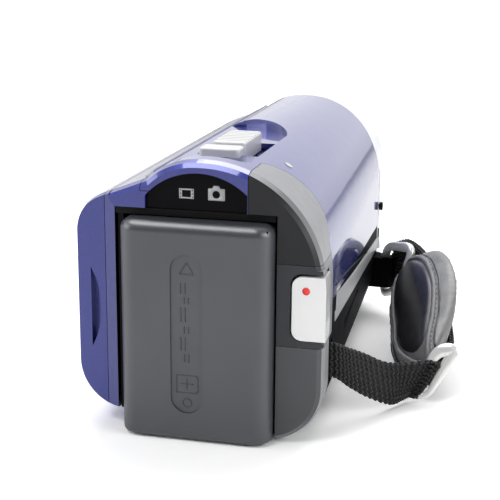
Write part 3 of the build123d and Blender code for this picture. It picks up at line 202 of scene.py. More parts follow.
def leather(name, dark, light, rough, pore, depth, **sockets):
    """Soft leathercloth: rounded pores between fine creases, shinier on the high spots."""
    made = Finish(name, **sockets)
    pores = made.node("ShaderNodeTexVoronoi", {"Vector": made.place, "Scale": 1 / (pore * MM)},
                      feature="SMOOTH_F1")
    creases = made.noise(2.2, 4.0)
    made.into("Base Color", made.colours(made.span(creases, 0, 1), dark, light))
    made.into("Roughness", made.span(pores.outputs["Distance"], rough * 0.85, rough * 1.2, 0.0, 0.6))
    fine = made.bump(pores.outputs["Distance"], depth, 0.7)
    made.into("Normal", made.bump(creases, depth * 4, 0.35, below=fine))
    return made.material


blue_lacquer = lacquer("blue_lacquer", (0.020, 0.028, 0.185), (0.037, 0.048, 0.30))
bezel_lacquer = two_tone("bezel_lacquer", (0.020, 0.028, 0.185), (0.037, 0.048, 0.30), (0.010, 0.010, 0.011))
# grey paint with a painted sheen: paler at low angles to the viewer
cover_grey = painted_sheen_paint("cover_grey", (0.022, 0.0225, 0.026), (0.28, 0.285, 0.30), 0.36)
panel_grey = painted_sheen_paint("panel_grey", (0.042, 0.044, 0.050), (0.24, 0.245, 0.26), 0.38)
foot_grey = painted_sheen_paint("foot_grey", (0.085, 0.087, 0.094), (0.26, 0.265, 0.275), 0.40)
battery_satin = moulded_plastic("battery_satin", (0.043, 0.047, 0.055), (0.052, 0.056, 0.066),
                                0.36, 0.12, 0.010, Specular_IOR_Level=1.0)
housing_black = moulded_plastic("housing_black", (0.004, 0.004, 0.0055), (0.008, 0.008, 0.0095),
                                0.5, 0.2, 0.008, Specular_IOR_Level=0.01)
inner_black = moulded_plastic("inner_black", (0.004, 0.004, 0.0045), (0.007, 0.007, 0.008), 0.55, 0.25, 0.02,
                              Specular_IOR_Level=0.15)
window_gloss = moulded_plastic("window_gloss", (0.0025, 0.0025, 0.0035), (0.004, 0.004, 0.005),
                               0.08, 2.0, 0.002, Specular_IOR_Level=0.06)
silver_paint = moulded_plastic("silver_paint", (0.70, 0.71, 0.73), (0.75, 0.76, 0.78), 0.26, 0.5, 0.0015,
                               Metallic=0.3)
ring_silver = moulded_plastic("ring_silver", (0.80, 0.81, 0.84), (0.84, 0.85, 0.88), 0.30, 1.5, 0.0008,
                              Metallic=0.25)
# the ledge on the strap side: pale grey, a painted highlight for its lit chamfer
ledge_painted_highlight = moulded_plastic("ledge_painted_highlight", (0.30, 0.305, 0.315), (0.36, 0.365, 0.375), 0.34, 0.16, 0.004)
mark_grey = moulded_plastic("mark_grey", (0.36, 0.37, 0.38), (0.44, 0.45, 0.46), 0.45, 0.3, 0.002)
mark_shade = moulded_plastic("mark_shade", (0.046, 0.050, 0.058), (0.056, 0.060, 0.068), 0.30, 0.3, 0.002)
signal_red = moulded_plastic("signal_red", (0.80, 0.045, 0.035), (0.86, 0.06, 0.05), 0.35, 0.4, 0.002)
white_gloss = moulded_plastic("white_gloss", (0.76, 0.76, 0.77), (0.82, 0.82, 0.82), 0.12, 2.5, 0.004,
                              Coat_Weight=0.8, Coat_Roughness=0.04)
bright_steel = metal("bright_steel", (0.86, 0.86, 0.85), (0.74, 0.74, 0.73), 0.12, (1, 1, 12))
# steel rings in a near-white diffuse colour: a painted reflection for their bright shine
ring_steel_painted_reflection = moulded_plastic("ring_steel_painted_reflection", (0.92, 0.92, 0.90), (0.86, 0.86, 0.84), 0.16, 0.5, 0.002,
                             Metallic=0.25)
chassis_zinc = metal("chassis_zinc", (0.62, 0.63, 0.64), (0.48, 0.49, 0.50), 0.32, (1, 9, 1), 0.02)
contact_gold = metal("contact_gold", (0.86, 0.62, 0.26), (0.70, 0.48, 0.20), 0.22, (1, 1, 8))
cell_foil = metal("cell_foil", (0.70, 0.71, 0.72), (0.56, 0.57, 0.58), 0.36, (1, 1, 6), 0.03)
lens_glass = clear_glass("lens_glass", (0.10, 0.06, 0.16))
screen_glass = clear_glass("screen_glass", (0.02, 0.022, 0.026))
circuit_board = board_green("circuit_board")
chip_black = moulded_plastic("chip_black", (0.012, 0.012, 0.013), (0.03, 0.03, 0.03), 0.45, 0.1, 0.01)
lamp_lens = moulded_plastic("lamp_lens", (0.42, 0.43, 0.42), (0.50, 0.51, 0.50), 0.15, 0.8, 0.01,
                            Coat_Weight=0.7)
lever_white = moulded_plastic("lever_white", (0.60, 0.605, 0.61), (0.66, 0.66, 0.67), 0.30, 0.14, 0.006,
                              Coat_Weight=0.35, Coat_Roughness=0.12)

webbing_black = fabric("webbing_black", (0.003, 0.003, 0.0035), (0.017, 0.017, 0.019), 0.16, 0.5, 0.06)
webbing_core = fabric("webbing_core", (0.006, 0.006, 0.007), (0.012, 0.012, 0.013), 0.2, 0.8, 0.1)
pad_black = leather("pad_black", (0.012, 0.012, 0.014), (0.022, 0.022, 0.025), 0.30, 0.32, 0.02,
                    Coat_Weight=0.25, Coat_Roughness=0.25)
# the pad's shell: black leathercloth in grey, a painted sheen for its satin reflection
pad_rim_painted_sheen = leather("pad_rim_painted_sheen", (0.12, 0.12, 0.122), (0.155, 0.155, 0.158), 0.42, 0.4, 0.005,
                       Specular_IOR_Level=0.8, Coat_Weight=0.4, Coat_Roughness=0.35)
piping_grey = leather("piping_grey", (0.16, 0.16, 0.165), (0.22, 0.22, 0.225), 0.42, 0.3, 0.02)
thread_pale = fabric("thread_pale", (0.34, 0.34, 0.34), (0.52, 0.52, 0.52), 0.1, 0.5, 0.2)

# the finish that each CAD node wears; those under the strap's own pieces are black
finish_of = {
    blue_lacquer: ["top_cover", "left_cover", "display_shell"],
    cover_grey: ["right_cover"],
    panel_grey: ["record_panel"],
    foot_grey: ["rear_foot"],
    battery_satin: ["battery_case", "battery_lid"],
    bezel_lacquer: ["display_bezel"],
    housing_black: ["lower_housing", "jack_cover", "front_bezel", "display_barrel", "battery_latch",
                    "cover_switch"],
    window_gloss: ["mode_window", "display_module"],
    ring_silver: ["front_ring"],
    silver_paint: ["top_trim", "shutter_plate", "lens_blade_upper", "lens_blade_lower",
                   "power_button", "playback_button", "easy_button"],
    white_gloss: ["record_button"],
    lever_white: ["zoom_lever", "photo_button"],
    ring_steel_painted_reflection: ["strap_rings"],
    bright_steel: ["hinge_pins", "guide_rods", "housing_screws", "swivel_shaft", "zoom_screw", "tripod_bush"],
    chassis_zinc: ["chassis_frame", "zoom_motor"],
    contact_gold: ["battery_contacts", "battery_terminals"],
    cell_foil: ["battery_cells"],
    lens_glass: ["front_lens", "zoom_lens", "rear_lens", "sensor_chip"],
    screen_glass: ["display_glass"],
    circuit_board: ["main_board", "sensor_board"],
    chip_black: ["board_chips", "speaker", "microphones"],
    lamp_lens: ["indicator_lamps"],
    inner_black: ["battery_bay", "switch_board", "lens_barrel", "jack_block", "zoom_carrier", "card_slot",
                  "strap_pad", "strap_webbing_rear", "strap_webbing_outer"],
}
for finish, names in finish_of.items():
    for name in names:
        nodes[name].data.materials.clear()
        nodes[name].data.materials.append(finish)
unpainted = [name for name in nodes if not any(name in names for names in finish_of.values())]
assert not unpainted, unpainted


# ---------------------------------------------------------------- meshes
def add_piece(name, mesh, finish, body="camera"):
    """A finished mesh as a piece that goes with a body."""
    mesh.materials.clear()
    mesh.materials.append(finish)
    piece = bpy.data.objects.new(name, mesh)
    scene.collection.objects.link(piece)
    for face in mesh.polygons:
        face.use_smooth = True
    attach(piece, body)
    return piece


def mesh_of(name, points, faces):
    """A mesh from points in metres, its doubles merged and its faces turned outwards."""
    mesh = bpy.data.meshes.new(name)
    mesh.from_pydata([tuple(point) for point in points], [], faces)
    work = bmesh.new()
    work.from_mesh(mesh)
    bmesh.ops.remove_doubles(work, verts=work.verts, dist=DOUBLES)
    bmesh.ops.recalc_face_normals(work, faces=work.faces)
    work.to_mesh(mesh)
    work.free()
    return mesh


def smooth_line(stations, steps):
    """Points along a smooth line through the stations, with as many between each pair."""
    line = []
    for place in range(len(stations) - 1):
        before, here = stations[max(place - 1, 0)], stations[place]
        there, after = stations[place + 1], stations[min(place + 2, len(stations) - 1)]
        for step in range(steps):
            t = step / steps
            line.append(Vector([0.5 * (2 * b + (c - a) * t + (2 * a - 5 * b + 4 * c - d) * t * t
                                       + (3 * b - a - 3 * c + d) * t ** 3)
                                for a, b, c, d in zip(before, here, there, after)]))
    line.append(Vector(stations[-1]))
    return line


def made_plain(piece):
    """The evaluated piece as a mesh of its own."""
    return bpy.data.meshes.new_from_object(piece.evaluated_get(bpy.context.evaluated_depsgraph_get()))


def swept_skin(name, rows, closed_along=False):
    """A skin over rows of points: each row is a closed ring, and open ends are capped."""
    count = len(rows[0])
    points = [point for row in rows for point in row]
    faces = []
    last = len(rows) if closed_along else len(rows) - 1
    for row in range(last):
        after = (row + 1) % len(rows)
        for place in range(count):
            beside = (place + 1) % count
            faces.append((row * count + place, row * count + beside,
                          after * count + beside, after * count + place))
    if not closed_along:
        faces.append(tuple(reversed(range(count))))
        faces.append(tuple(range((len(rows) - 1) * count, len(rows) * count)))
    return mesh_of(name, points, faces)


class Band:
    """A strip of fabric through stations of low edge and high edge, in millimetres."""

    def __init__(self, stations, steps):
        self.low = smooth_line([low for low, high in stations], steps)
        self.high = smooth_line([high for low, high in stations], steps)
        self.middles = [(low + high) / 2 for low, high in zip(self.low, self.high)]

    def at(self, place):
        """Middle, direction along, direction across (low to high), outward direction and half width."""
        place = min(max(place, 0), len(self.middles) - 1)
        here = int(place)
        beyond = min(here + 1, len(self.middles) - 1)
        share = place - here
        low = self.low[here].lerp(self.low[beyond], share)
        high = self.high[here].lerp(self.high[beyond], share)
        ahead = (self.middles[beyond] - self.middles[max(here - 1, 0)]).normalized()
        across = (high - low).normalized()
        out = ahead.cross(across).normalized()
        return (low + high) / 2, ahead, across, out, (high - low).length / 2

    def length(self):
        """Length along the middle."""
        return sum((b - a).length for a, b in zip(self.middles, self.middles[1:]))


# ---------------------------------------------------------------- strap
YARN_WANDER = 0.22          # radians that a yarn may turn from its line
YARN_LEAN = 0.62            # radians between the braid's rows and its length
WEBBING_THICK = 1.4
YARN_HEIGHT = 0.62
BRAID_PITCH = 1.05          # from yarn to yarn along a row
BAND_STEPS = 6              # places between two stations of a band


def yarn_tree():
    """Geometry nodes: a short yarn on every point of a guide mesh, each a little askew."""
    tree = bpy.data.node_groups.new("braided_yarns", "GeometryNodeTree")
    face = tree.interface
    face.new_socket("Guide", in_out="INPUT", socket_type="NodeSocketGeometry")
    for label in ("Yarn Length", "Yarn Width", "Yarn Height"):
        face.new_socket(label, in_out="INPUT", socket_type="NodeSocketFloat")
    face.new_socket("Seed", in_out="INPUT", socket_type="NodeSocketInt")
    face.new_socket("Finish", in_out="INPUT", socket_type="NodeSocketMaterial")
    face.new_socket("Yarns", in_out="OUTPUT", socket_type="NodeSocketGeometry")
    make, link = tree.nodes.new, tree.links.new
    given, out = make("NodeGroupInput"), make("NodeGroupOutput")
    yarn = make("GeometryNodeMeshUVSphere")
    yarn.inputs["Segments"].default_value = 6
    yarn.inputs["Rings"].default_value = 4
    yarn.inputs["Radius"].default_value = 0.5
    turned = make("GeometryNodeTransform")
    turned.inputs["Rotation"].default_value = (0, pi / 2, 0)
    link(yarn.outputs["Mesh"], turned.inputs["Geometry"])
    smooth = make("GeometryNodeSetShadeSmooth")
    link(turned.outputs["Geometry"], smooth.inputs["Geometry"])
    size = make("ShaderNodeCombineXYZ")
    for label, axis in (("Yarn Length", "X"), ("Yarn Width", "Y"), ("Yarn Height", "Z")):
        link(given.outputs[label], size.inputs[axis])
    along = make("GeometryNodeInputNamedAttribute")
    along.data_type = "FLOAT_VECTOR"
    along.inputs["Name"].default_value = "along"
    outward = make("GeometryNodeInputNamedAttribute")
    outward.data_type = "FLOAT_VECTOR"
    outward.inputs["Name"].default_value = "outward"
    aim = make("FunctionNodeAlignRotationToVector")
    aim.axis = "X"
    link(along.outputs["Attribute"], aim.inputs["Vector"])
    stand = make("FunctionNodeAlignRotationToVector")
    stand.axis = "Z"
    stand.pivot_axis = "X"
    link(aim.outputs["Rotation"], stand.inputs["Rotation"])
    link(outward.outputs["Attribute"], stand.inputs["Vector"])
    wander = make("FunctionNodeRandomValue")
    wander.data_type = "FLOAT"
    wander.inputs[2].default_value = -YARN_WANDER
    wander.inputs[3].default_value = YARN_WANDER
    link(given.outputs["Seed"], wander.inputs["Seed"])
    turn = make("ShaderNodeCombineXYZ")
    link(wander.outputs[1], turn.inputs["Z"])
    slanted = make("FunctionNodeRotateRotation")
    slanted.rotation_space = "LOCAL"
    link(stand.outputs["Rotation"], slanted.inputs["Rotation"])
    link(turn.outputs[0], slanted.inputs["Rotate By"])
    points = make("GeometryNodeMeshToPoints")
    link(given.outputs["Guide"], points.inputs["Mesh"])
    place = make("GeometryNodeInstanceOnPoints")
    link(points.outputs["Points"], place.inputs["Points"])
    link(smooth.outputs["Geometry"], place.inputs["Instance"])
    link(slanted.outputs["Rotation"], place.inputs["Rotation"])
    link(size.outputs[0], place.inputs["Scale"])
    real = make("GeometryNodeRealizeInstances")
    link(place.outputs["Instances"], real.inputs["Geometry"])
    painted = make("GeometryNodeSetMaterial")
    link(real.outputs["Geometry"], painted.inputs["Geometry"])
    link(given.outputs["Finish"], painted.inputs["Material"])
    link(painted.outputs["Geometry"], out.inputs["Yarns"])
    return tree


yarns = yarn_tree()


def yarn_cover(name, spots, finish, length, width, height, seed):
    """Yarns on spots, each a (place, along, outward) in millimetres, made plain mesh."""
    guide_mesh = bpy.data.meshes.new(name)
    guide_mesh.from_pydata([tuple(place * MM) for place, along, outward in spots], [], [])
    for label, part in (("along", 1), ("outward", 2)):
        attribute = guide_mesh.attributes.new(label, "FLOAT_VECTOR", "POINT")
        attribute.data.foreach_set("vector", [c for spot in spots for c in spot[part].normalized()])
    guide = bpy.data.objects.new(name + "_guide", guide_mesh)
    scene.collection.objects.link(guide)
    modifier = guide.modifiers.new("yarns", "NODES")
    modifier.node_group = yarns
    values = {"Yarn Length": length * MM, "Yarn Width": width * MM, "Yarn Height": height * MM,
              "Seed": seed, "Finish": finish}
    for socket in yarns.interface.items_tree:
        if socket.in_out == "INPUT" and socket.name in values:
            modifier[socket.identifier] = values[socket.name]
    bpy.context.view_layer.update()
    made = made_plain(guide)
    made.name = name
    bpy.data.objects.remove(guide)
    return add_piece(name, made, finish)


def woven_band(name, stations, rows, node):
    """Braided webbing: a thin dark core with rows of slanted yarns over both faces and its edges."""
    band = Band(stations, BAND_STEPS)
    half = WEBBING_THICK / 2 - 0.25
    outline = ((-1, 0), (-0.96, -1), (0, -1), (0.96, -1), (1, 0), (0.96, 1), (0, 1), (-0.96, 1))
    rings = []
    for place in range(len(band.middles)):
        middle, ahead, across, out, wide = band.at(place)
        reach = wide - 0.35
        rings.append([(middle + across * reach * a + out * half * b) * MM for a, b in outline])
    core = add_piece(name, swept_skin(name, rings), webbing_core)
    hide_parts(node)
    steps = int(band.length() / BRAID_PITCH)
    spots = []
    for step in range(steps + 1):
        middle, ahead, across, out, wide = band.at(step / steps * (len(band.middles) - 1))
        for row in range(rows):
            side = -1 + 2 * (row + 0.5) / rows
            lean = YARN_LEAN if row % 2 else -YARN_LEAN
            for face in (-1, 1):
                spots.append((middle + across * side * (wide - 0.2) + out * face * (half + 0.05),
                              ahead * cos(lean) + across * sin(lean), out * face))
        for edge in (-1, 1):
            spots.append((middle + across * edge * (wide - 0.3), ahead, across * edge))
    yarn_cover(name + "_yarns", spots, webbing_black, BRAID_PITCH * 1.12, BRAID_PITCH * 0.62, YARN_HEIGHT, 3)


# stations of low edge and high edge, from the rear lug to the near ring
rear_stations = [
    ((22.8, -47.2, 10.9), (22.8, -47.2, 18.7)), ((26.6, -46.4, 10.7), (26.4, -46.4, 18.5)),
    ((29.6, -43.6, 7.6), (28.6, -43.6, 16.8)), ((33.1, -39.2, 4.0), (31.4, -39.4, 14.4)),
    ((36.8, -34.2, 1.0), (35.4, -34.0, 10.9)), ((38.4, -31.6, 0.9), (39.6, -29.9, 9.8)),
    ((39.6, -29.0, 1.1), (45.0, -26.6, 9.6)), ((41.4, -29.2, 1.1), (46.4, -27.0, 9.0)),
    ((41.6, -27.6, 1.2), (46.6, -25.4, 8.8)),
]
# the same along the pad, from the near ring forwards
pad_stations = [
    ((41.4, -24.5, 2.4), (48.0, -21.8, 12.4)),
    ((36.6, -17.0, 2.4), (48.8, -14.5, 16.6)),
    ((34.2, -9.0, 3.4), (48.6, -8.0, 20.6)),
    ((33.2, -2.0, 5.4), (47.6, -2.0, 23.4)),
    ((32.0, 5.0, 7.2), (45.6, 5.0, 25.0)),
    ((31.2, 12.0, 8.6), (43.2, 12.0, 25.0)),
    ((30.9, 19.0, 10.0), (40.2, 19.0, 23.0)),
    ((31.2, 24.5, 11.6), (36.8, 24.5, 19.6)),
]
woven_band("strap_webbing_near", rear_stations, 10, "strap_webbing_rear")

# the pad: a stuffed shell, a panel of leathercloth framed by piping, and stitches beside it
pad_band = Band(pad_stations, BAND_STEPS)
pad_last = len(pad_band.middles) - 1
PAD_THICK = 3.6
PAD_GROW = 0.2              # how far the shell stands past the band's edges
PAD_RINGS = 44              # steps along the shell
PAD_TURNS = 28              # steps round it
PAD_PRESSURE = 4.0
PAD_SWELL = 0.7             # the furthest that the cloth may move
CLOTH_SIZE = 20.0           # the cloth is worked at this many times its size
CLOTH_GRID = 0.85           # width of the cloth's mesh
CLOTH_FRAMES = 20


def rounded(value, power):
    """A sine or cosine bent towards a squarer round."""
    return abs(value) ** power * (1 if value > 0 else -1)


def pad_rows():
    """Rings of points round the pad before it is stuffed, drawn in at both ends."""
    rows = []
    for step in range(PAD_RINGS + 1):
        t = 0.012 + 0.976 * step / PAD_RINGS
        middle, ahead, across, out, wide = pad_band.at(t * pad_last)
        close = (1 - abs(2 * t - 1) ** (7 if t < 0.5 else 4)) ** 0.5
        thick = PAD_THICK / 2 * min(1, close * 1.4)
        row = []
        for turn in range(PAD_TURNS):
            angle = 2 * pi * turn / PAD_TURNS
            side, face = rounded(cos(angle), 0.75), rounded(sin(angle), 0.8)
            row.append((middle + across * side * (wide + PAD_GROW) * close + out * face * thick) * MM)
        rows.append(row)
    return rows


def stuffed(mesh):
    """Swells a closed mesh like a sewn cover round its stuffing."""
    mesh.transform(Matrix.Scale(CLOTH_SIZE, 4))
    piece = bpy.data.objects.new("stuffing", mesh)
    scene.collection.objects.link(piece)
    remesh = piece.modifiers.new("even", "REMESH")
    remesh.mode = "VOXEL"
    remesh.voxel_size = CLOTH_GRID * MM * CLOTH_SIZE
    bpy.context.view_layer.update()
    start = made_plain(piece)
    piece.modifiers.clear()
    piece.data = start
    before = [v.co.copy() for v in start.vertices]
    cloth = piece.modifiers.new("cover", "CLOTH")
    cloth.settings.use_pressure = True
    cloth.settings.uniform_pressure_force = PAD_PRESSURE
    cloth.settings.effector_weights.gravity = 0
    for moment in range(1, CLOTH_FRAMES + 1):
        scene.frame_set(moment)
    swollen = made_plain(piece)
    piece.modifiers.clear()
    scene.frame_set(1)
    furthest = PAD_SWELL * MM * CLOTH_SIZE
    for old, new in zip(before, swollen.vertices):
        move = new.co - old
        if move.length > furthest:
            move.length = furthest
        new.co = old + move
    piece.data = swollen
    done = piece.data
    bpy.data.objects.remove(piece)
    done.transform(Matrix.Scale(1 / CLOTH_SIZE, 4))
    return done


pad_mesh = stuffed(swept_skin("pad_start", pad_rows()))
pad = add_piece("strap_pad_cover", pad_mesh, pad_rim_painted_sheen)
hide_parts("strap_pad")


def tree_of(mesh):
    """The mesh as a surface that lines can be thrown at."""
    return BVHTree.FromPolygons([v.co for v in mesh.vertices], [tuple(f.vertices) for f in mesh.polygons])


pad_tree = tree_of(pad_mesh)


def on_pad(t, side, lift):
    """A point over the pad's inner face: t along it, side from -1 at its low edge to 1 at its high edge."""
    middle, ahead, across, out, wide = pad_band.at(t * pad_last)
    above = (middle + across * side * wide - out * 8) * MM
    hit, normal, face, distance = pad_tree.ray_cast(above, out)
    if hit is None:
        hit, normal, face, distance = pad_tree.find_nearest((middle + across * side * wide) * MM)
    return hit / MM - out * lift, ahead, across, -out


def panel_outline(angle, size=1.0):
    """The panel is a squarish oval; a size over 1 goes round outside it. Gives t and side as on_pad takes."""
    return 0.50 + 0.44 * size * rounded(cos(angle), 0.85), -0.13 + 0.62 * size * rounded(sin(angle), 0.8)


def round_panel(count, size, lift):
    """Places round the panel's outline, each with its outward direction."""
    line = []
    for turn in range(count):
        t, side = panel_outline(2 * pi * turn / count, size)
        point, ahead, across, outward = on_pad(t, side, lift)
        line.append((point, outward))
    return line


PANEL_RINGS = 9
PANEL_TURNS = 72


def laid_panel():
    """The leathercloth panel: rings of points from its sunk edge up to a flat crown."""
    points, faces = [], []
    for ring in range(PANEL_RINGS + 1):
        size = 1 - ring / PANEL_RINGS
        for turn in range(PANEL_TURNS):
            t, side = panel_outline(2 * pi * turn / PANEL_TURNS, max(size, 0.001))
            lift = -0.35 if ring == 0 else 0.42 * (1 - size ** 4) + 0.12
            points.append(on_pad(t, side, lift)[0] * MM)
    for ring in range(PANEL_RINGS):
        for turn in range(PANEL_TURNS):
            beside = (turn + 1) % PANEL_TURNS
            faces.append((ring * PANEL_TURNS + turn, ring * PANEL_TURNS + beside,
                          (ring + 1) * PANEL_TURNS + beside, (ring + 1) * PANEL_TURNS + turn))
    return mesh_of("strap_pad_panel", points, faces)


ROPE_SIDES = 8
TRIM_STEPS = 120
STITCHES = 96
EDGE_STEPS = 40


def rope(name, line, radius, finish, closed=True, flat=1.0):
    """A round or flattened roll that follows a line of (place, outward)."""
    rows = []
    for place in range(len(line)):
        here, out = line[place]
        if closed or place < len(line) - 1:
            after = line[(place + 1) % len(line)][0]
        else:
            after = here * 2 - line[place - 1][0]
        before = line[place - 1][0] if closed or place > 0 else here * 2 - after
        ahead = (after - before).normalized()
        side = ahead.cross(out).normalized()
        up_here = side.cross(ahead) * flat
        angles = [2 * pi * k / ROPE_SIDES for k in range(ROPE_SIDES)]
        rows.append([(here + (side * cos(angle) + up_here * sin(angle)) * radius) * MM for angle in angles])
    add_piece(name, swept_skin(name, rows, closed_along=closed), finish)


add_piece("strap_pad_panel", laid_panel(), pad_black)
rope("strap_pad_piping", round_panel(TRIM_STEPS, 1.07, 0.15), 0.62, piping_grey, flat=0.8)
rope("strap_pad_groove", round_panel(TRIM_STEPS, 1.26, -0.12), 0.3, pad_black, flat=0.8)
seam = round_panel(STITCHES * 2, 1.16, 0.05)
stitch_spots = [(seam[k][0], seam[k + 1][0] - seam[k][0], seam[k][1]) for k in range(0, len(seam), 2)]
yarn_cover("strap_pad_stitches", stitch_spots, thread_pale, 0.95, 0.28, 0.26, 5)
for layer, (side, lift) in enumerate(((-0.90, 0.25), (-1.02, -0.6))):
    edge_line = []
    for step in range(EDGE_STEPS):
        point, ahead, across, outward = on_pad(0.06 + 0.88 * step / (EDGE_STEPS - 1), side, lift)
        edge_line.append((point, outward))
    rope(f"strap_pad_edge_{layer + 1}", edge_line, 0.42, pad_black, closed=False, flat=1.3)

# the webbing over the pad's outside runs from the near ring and follows the pad's stations
OUTER_STAND = 3.5           # from the pad's middle out to this webbing
OUTER_HALF = 5.2            # half its width, where the pad is wide enough
outer_stations = [((44.9, -26.8, 2.4), (49.2, -24.1, 10.6))]
for place in range(1, len(pad_stations)):
    low, high = Vector(pad_stations[place][0]), Vector(pad_stations[place][1])
    before = (Vector(pad_stations[place - 1][0]) + Vector(pad_stations[place - 1][1])) / 2
    middle = (low + high) / 2
    width = (high - low).normalized()
    outward = (middle - before).cross(high - low).normalized()
    centre = middle + outward * OUTER_STAND
    half = min(OUTER_HALF, (high - low).length / 2 - 0.4)
    outer_stations.append((tuple(centre - width * half), tuple(centre + width * half)))
woven_band("strap_webbing_far", outer_stations, 10, "strap_webbing_outer")


def rounded_loop(corners, radius, steps=6):
    """A closed line through the corners, each rounded off."""
    line = []
    for place, corner in enumerate(corners):
        corner = Vector(corner)
        before, after = Vector(corners[place - 1]), Vector(corners[(place + 1) % len(corners)])
        start = corner + (before - corner).normalized() * min(radius, (before - corner).length * 0.45)
        end = corner + (after - corner).normalized() * min(radius, (after - corner).length * 0.45)
        for step in range(steps + 1):
            t = step / steps
            line.append(start.lerp(corner, t).lerp(corner.lerp(end, t), t))
    return line


def flat_ring(name, corners, radius, width, thick, wide_at, wide):
    """A pressed oval ring: flat strip bent to a loop, wider towards one place."""
    line = rounded_loop(corners, radius)
    first, second, third = (Vector(corner) for corner in corners[:3])
    plane = (second - first).cross(third - second).normalized()
    half_outline = ((1, 0.45), (0.8, 1), (0, 1.15), (-0.8, 1), (-1, 0.45))
    outline = half_outline + tuple((a, -b) for a, b in reversed(half_outline))
    rows = []
    for place, here in enumerate(line):
        ahead = (line[(place + 1) % len(line)] - line[place - 1]).normalized()
        away = ahead.cross(plane).normalized()
        near = max(0.0, 1 - (here - Vector(wide_at)).length / 6.0)
        half = (width + (wide - width) * near) / 2
        face = away.cross(ahead).normalized()
        rows.append([(here + away * half * a + face * thick / 2 * b) * MM for a, b in outline])
    return add_piece(name, swept_skin(name, rows, closed_along=True), ring_steel_painted_reflection)


near_corners = [(40.2, -28.6, 1.5), (46.0, -25.6, 11.4), (49.8, -25.6, 12.0), (44.2, -28.6, 1.5)]
far_corners = [(26.0, 36.4, 4.6), (26.4, 36.4, 18.6), (34.6, 27.0, 20.8), (31.4, 27.0, 9.8)]
near_ring = flat_ring("strap_ring_near", near_corners, 1.8, 1.5, 1.2, (48.0, -25.6, 11.4), 3.2)
flat_ring("strap_ring_far", far_corners, 3.4, 1.9, 1.6, (30.6, 30.6, 19.9), 3.0)
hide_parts("strap_rings")
# the front webbing's end goes through the far ring and folds back
fold_stations = [((35.0, 25.0, 9.0), (38.0, 24.6, 20.6)), ((33.4, 29.5, 9.0), (35.6, 29.5, 21.2)),
                 ((30.6, 33.8, 8.6), (32.3, 34.2, 21.4)), ((28.2, 37.0, 8.0), (28.6, 38.0, 19.4))]
woven_band("strap_webbing_fold", fold_stations, 12, "strap_webbing_outer")

# ---------------------------------------------------------------- marks and trim lines
REAR, RIGHT = Vector((0, 1, 0)), Vector((-1, 0, 0))     # the ways one looks at the rear and the strap side
BEYOND = 90.0               # a place well outside the object
MARK_THICK = 0.03
MARK_GAP = 0.01             # between a printed mark and the surface
LINE_SIDES = 6
LEDGE_THICK = 0.12


def surface_of(*names):
    """One searchable surface over several nodes."""
    points, faces = [], []
    for name in names:
        mesh = nodes[name].data
        start = len(points)
        points += [v.co.copy() for v in mesh.vertices]
        faces += [tuple(start + v for v in f.vertices) for f in mesh.polygons]
    return BVHTree.FromPolygons(points, faces)


def laid(surface, point, toward, lift):
    """The place where a line through a point meets the surface, lifted off it; all in millimetres."""
    hit, normal, face, distance = surface.ray_cast((Vector(point) - toward * BEYOND) * MM, toward)
    return hit / MM - toward * lift if hit is not None else None


def printed(name, loops, surface, finish, body="camera"):
    """A printed mark on the rear: loops of (x, z); inner loops are holes."""
    curve = bpy.data.curves.new(name, "CURVE")
    curve.dimensions = "2D"
    curve.fill_mode = "BOTH"
    for loop in loops:
        line = curve.splines.new("POLY")
        line.points.add(len(loop) - 1)
        line.points.foreach_set("co", [c for x, z in loop for c in (x, z, 0, 1)])
        line.use_cyclic_u = True
    holder = bpy.data.objects.new(name + "_outline", curve)
    scene.collection.objects.link(holder)
    bpy.context.view_layer.update()
    flat = made_plain(holder)
    bpy.data.objects.remove(holder)
    points = [laid(surface, (v.co.x, 0, v.co.y), REAR, MARK_THICK + MARK_GAP) * MM for v in flat.vertices]
    mesh = mesh_of(name, points, [tuple(f.vertices) for f in flat.polygons])
    work = bmesh.new()
    work.from_mesh(mesh)
    for face in work.faces:
        if face.normal.y > 0:
            face.normal_flip()
    back = bmesh.ops.extrude_face_region(work, geom=work.faces[:])
    for part in back["geom"]:
        if isinstance(part, bmesh.types.BMVert):
            part.co -= REAR * MARK_THICK * MM
    bmesh.ops.recalc_face_normals(work, faces=work.faces)
    work.to_mesh(mesh)
    work.free()
    add_piece(name, mesh, finish, body)


def box_loop(x0, z0, x1, z1):
    """The corners of an upright rectangle on the rear."""
    return [(x0, z0), (x1, z0), (x1, z1), (x0, z1)]


def round_loop(x, z, radius, count=24):
    """Points round a circle on the rear."""
    angles = [2 * pi * k / count for k in range(count)]
    return [(x + radius * cos(angle), z + radius * sin(angle)) for angle in angles]


window = surface_of("mode_window")
holes = [box_loop(-3.0, 49.6, -1.2, 51.0)]
holes += [box_loop(x, z, x + 0.22, z + 0.26) for x in (-3.42, -1.0) for z in (49.5, 50.17, 50.84)]
printed("film_mark", [box_loop(-3.6, 49.3, -0.6, 51.3)] + holes, window, mark_grey)
body_loop = [(2.3, 49.3), (2.4, 49.2), (5.6, 49.2), (5.7, 49.3), (5.7, 51.5), (5.6, 51.6), (4.75, 51.6),
             (4.5, 52.15), (3.4, 52.15), (3.15, 51.6), (2.4, 51.6), (2.3, 51.5)]
printed("photo_mark", [body_loop, round_loop(3.95, 50.4, 0.78)], window, mark_grey)
button = surface_of("record_button")
printed("record_dot", [round_loop(22.4, 32.6, 0.78)], button, signal_red, body="record_button")


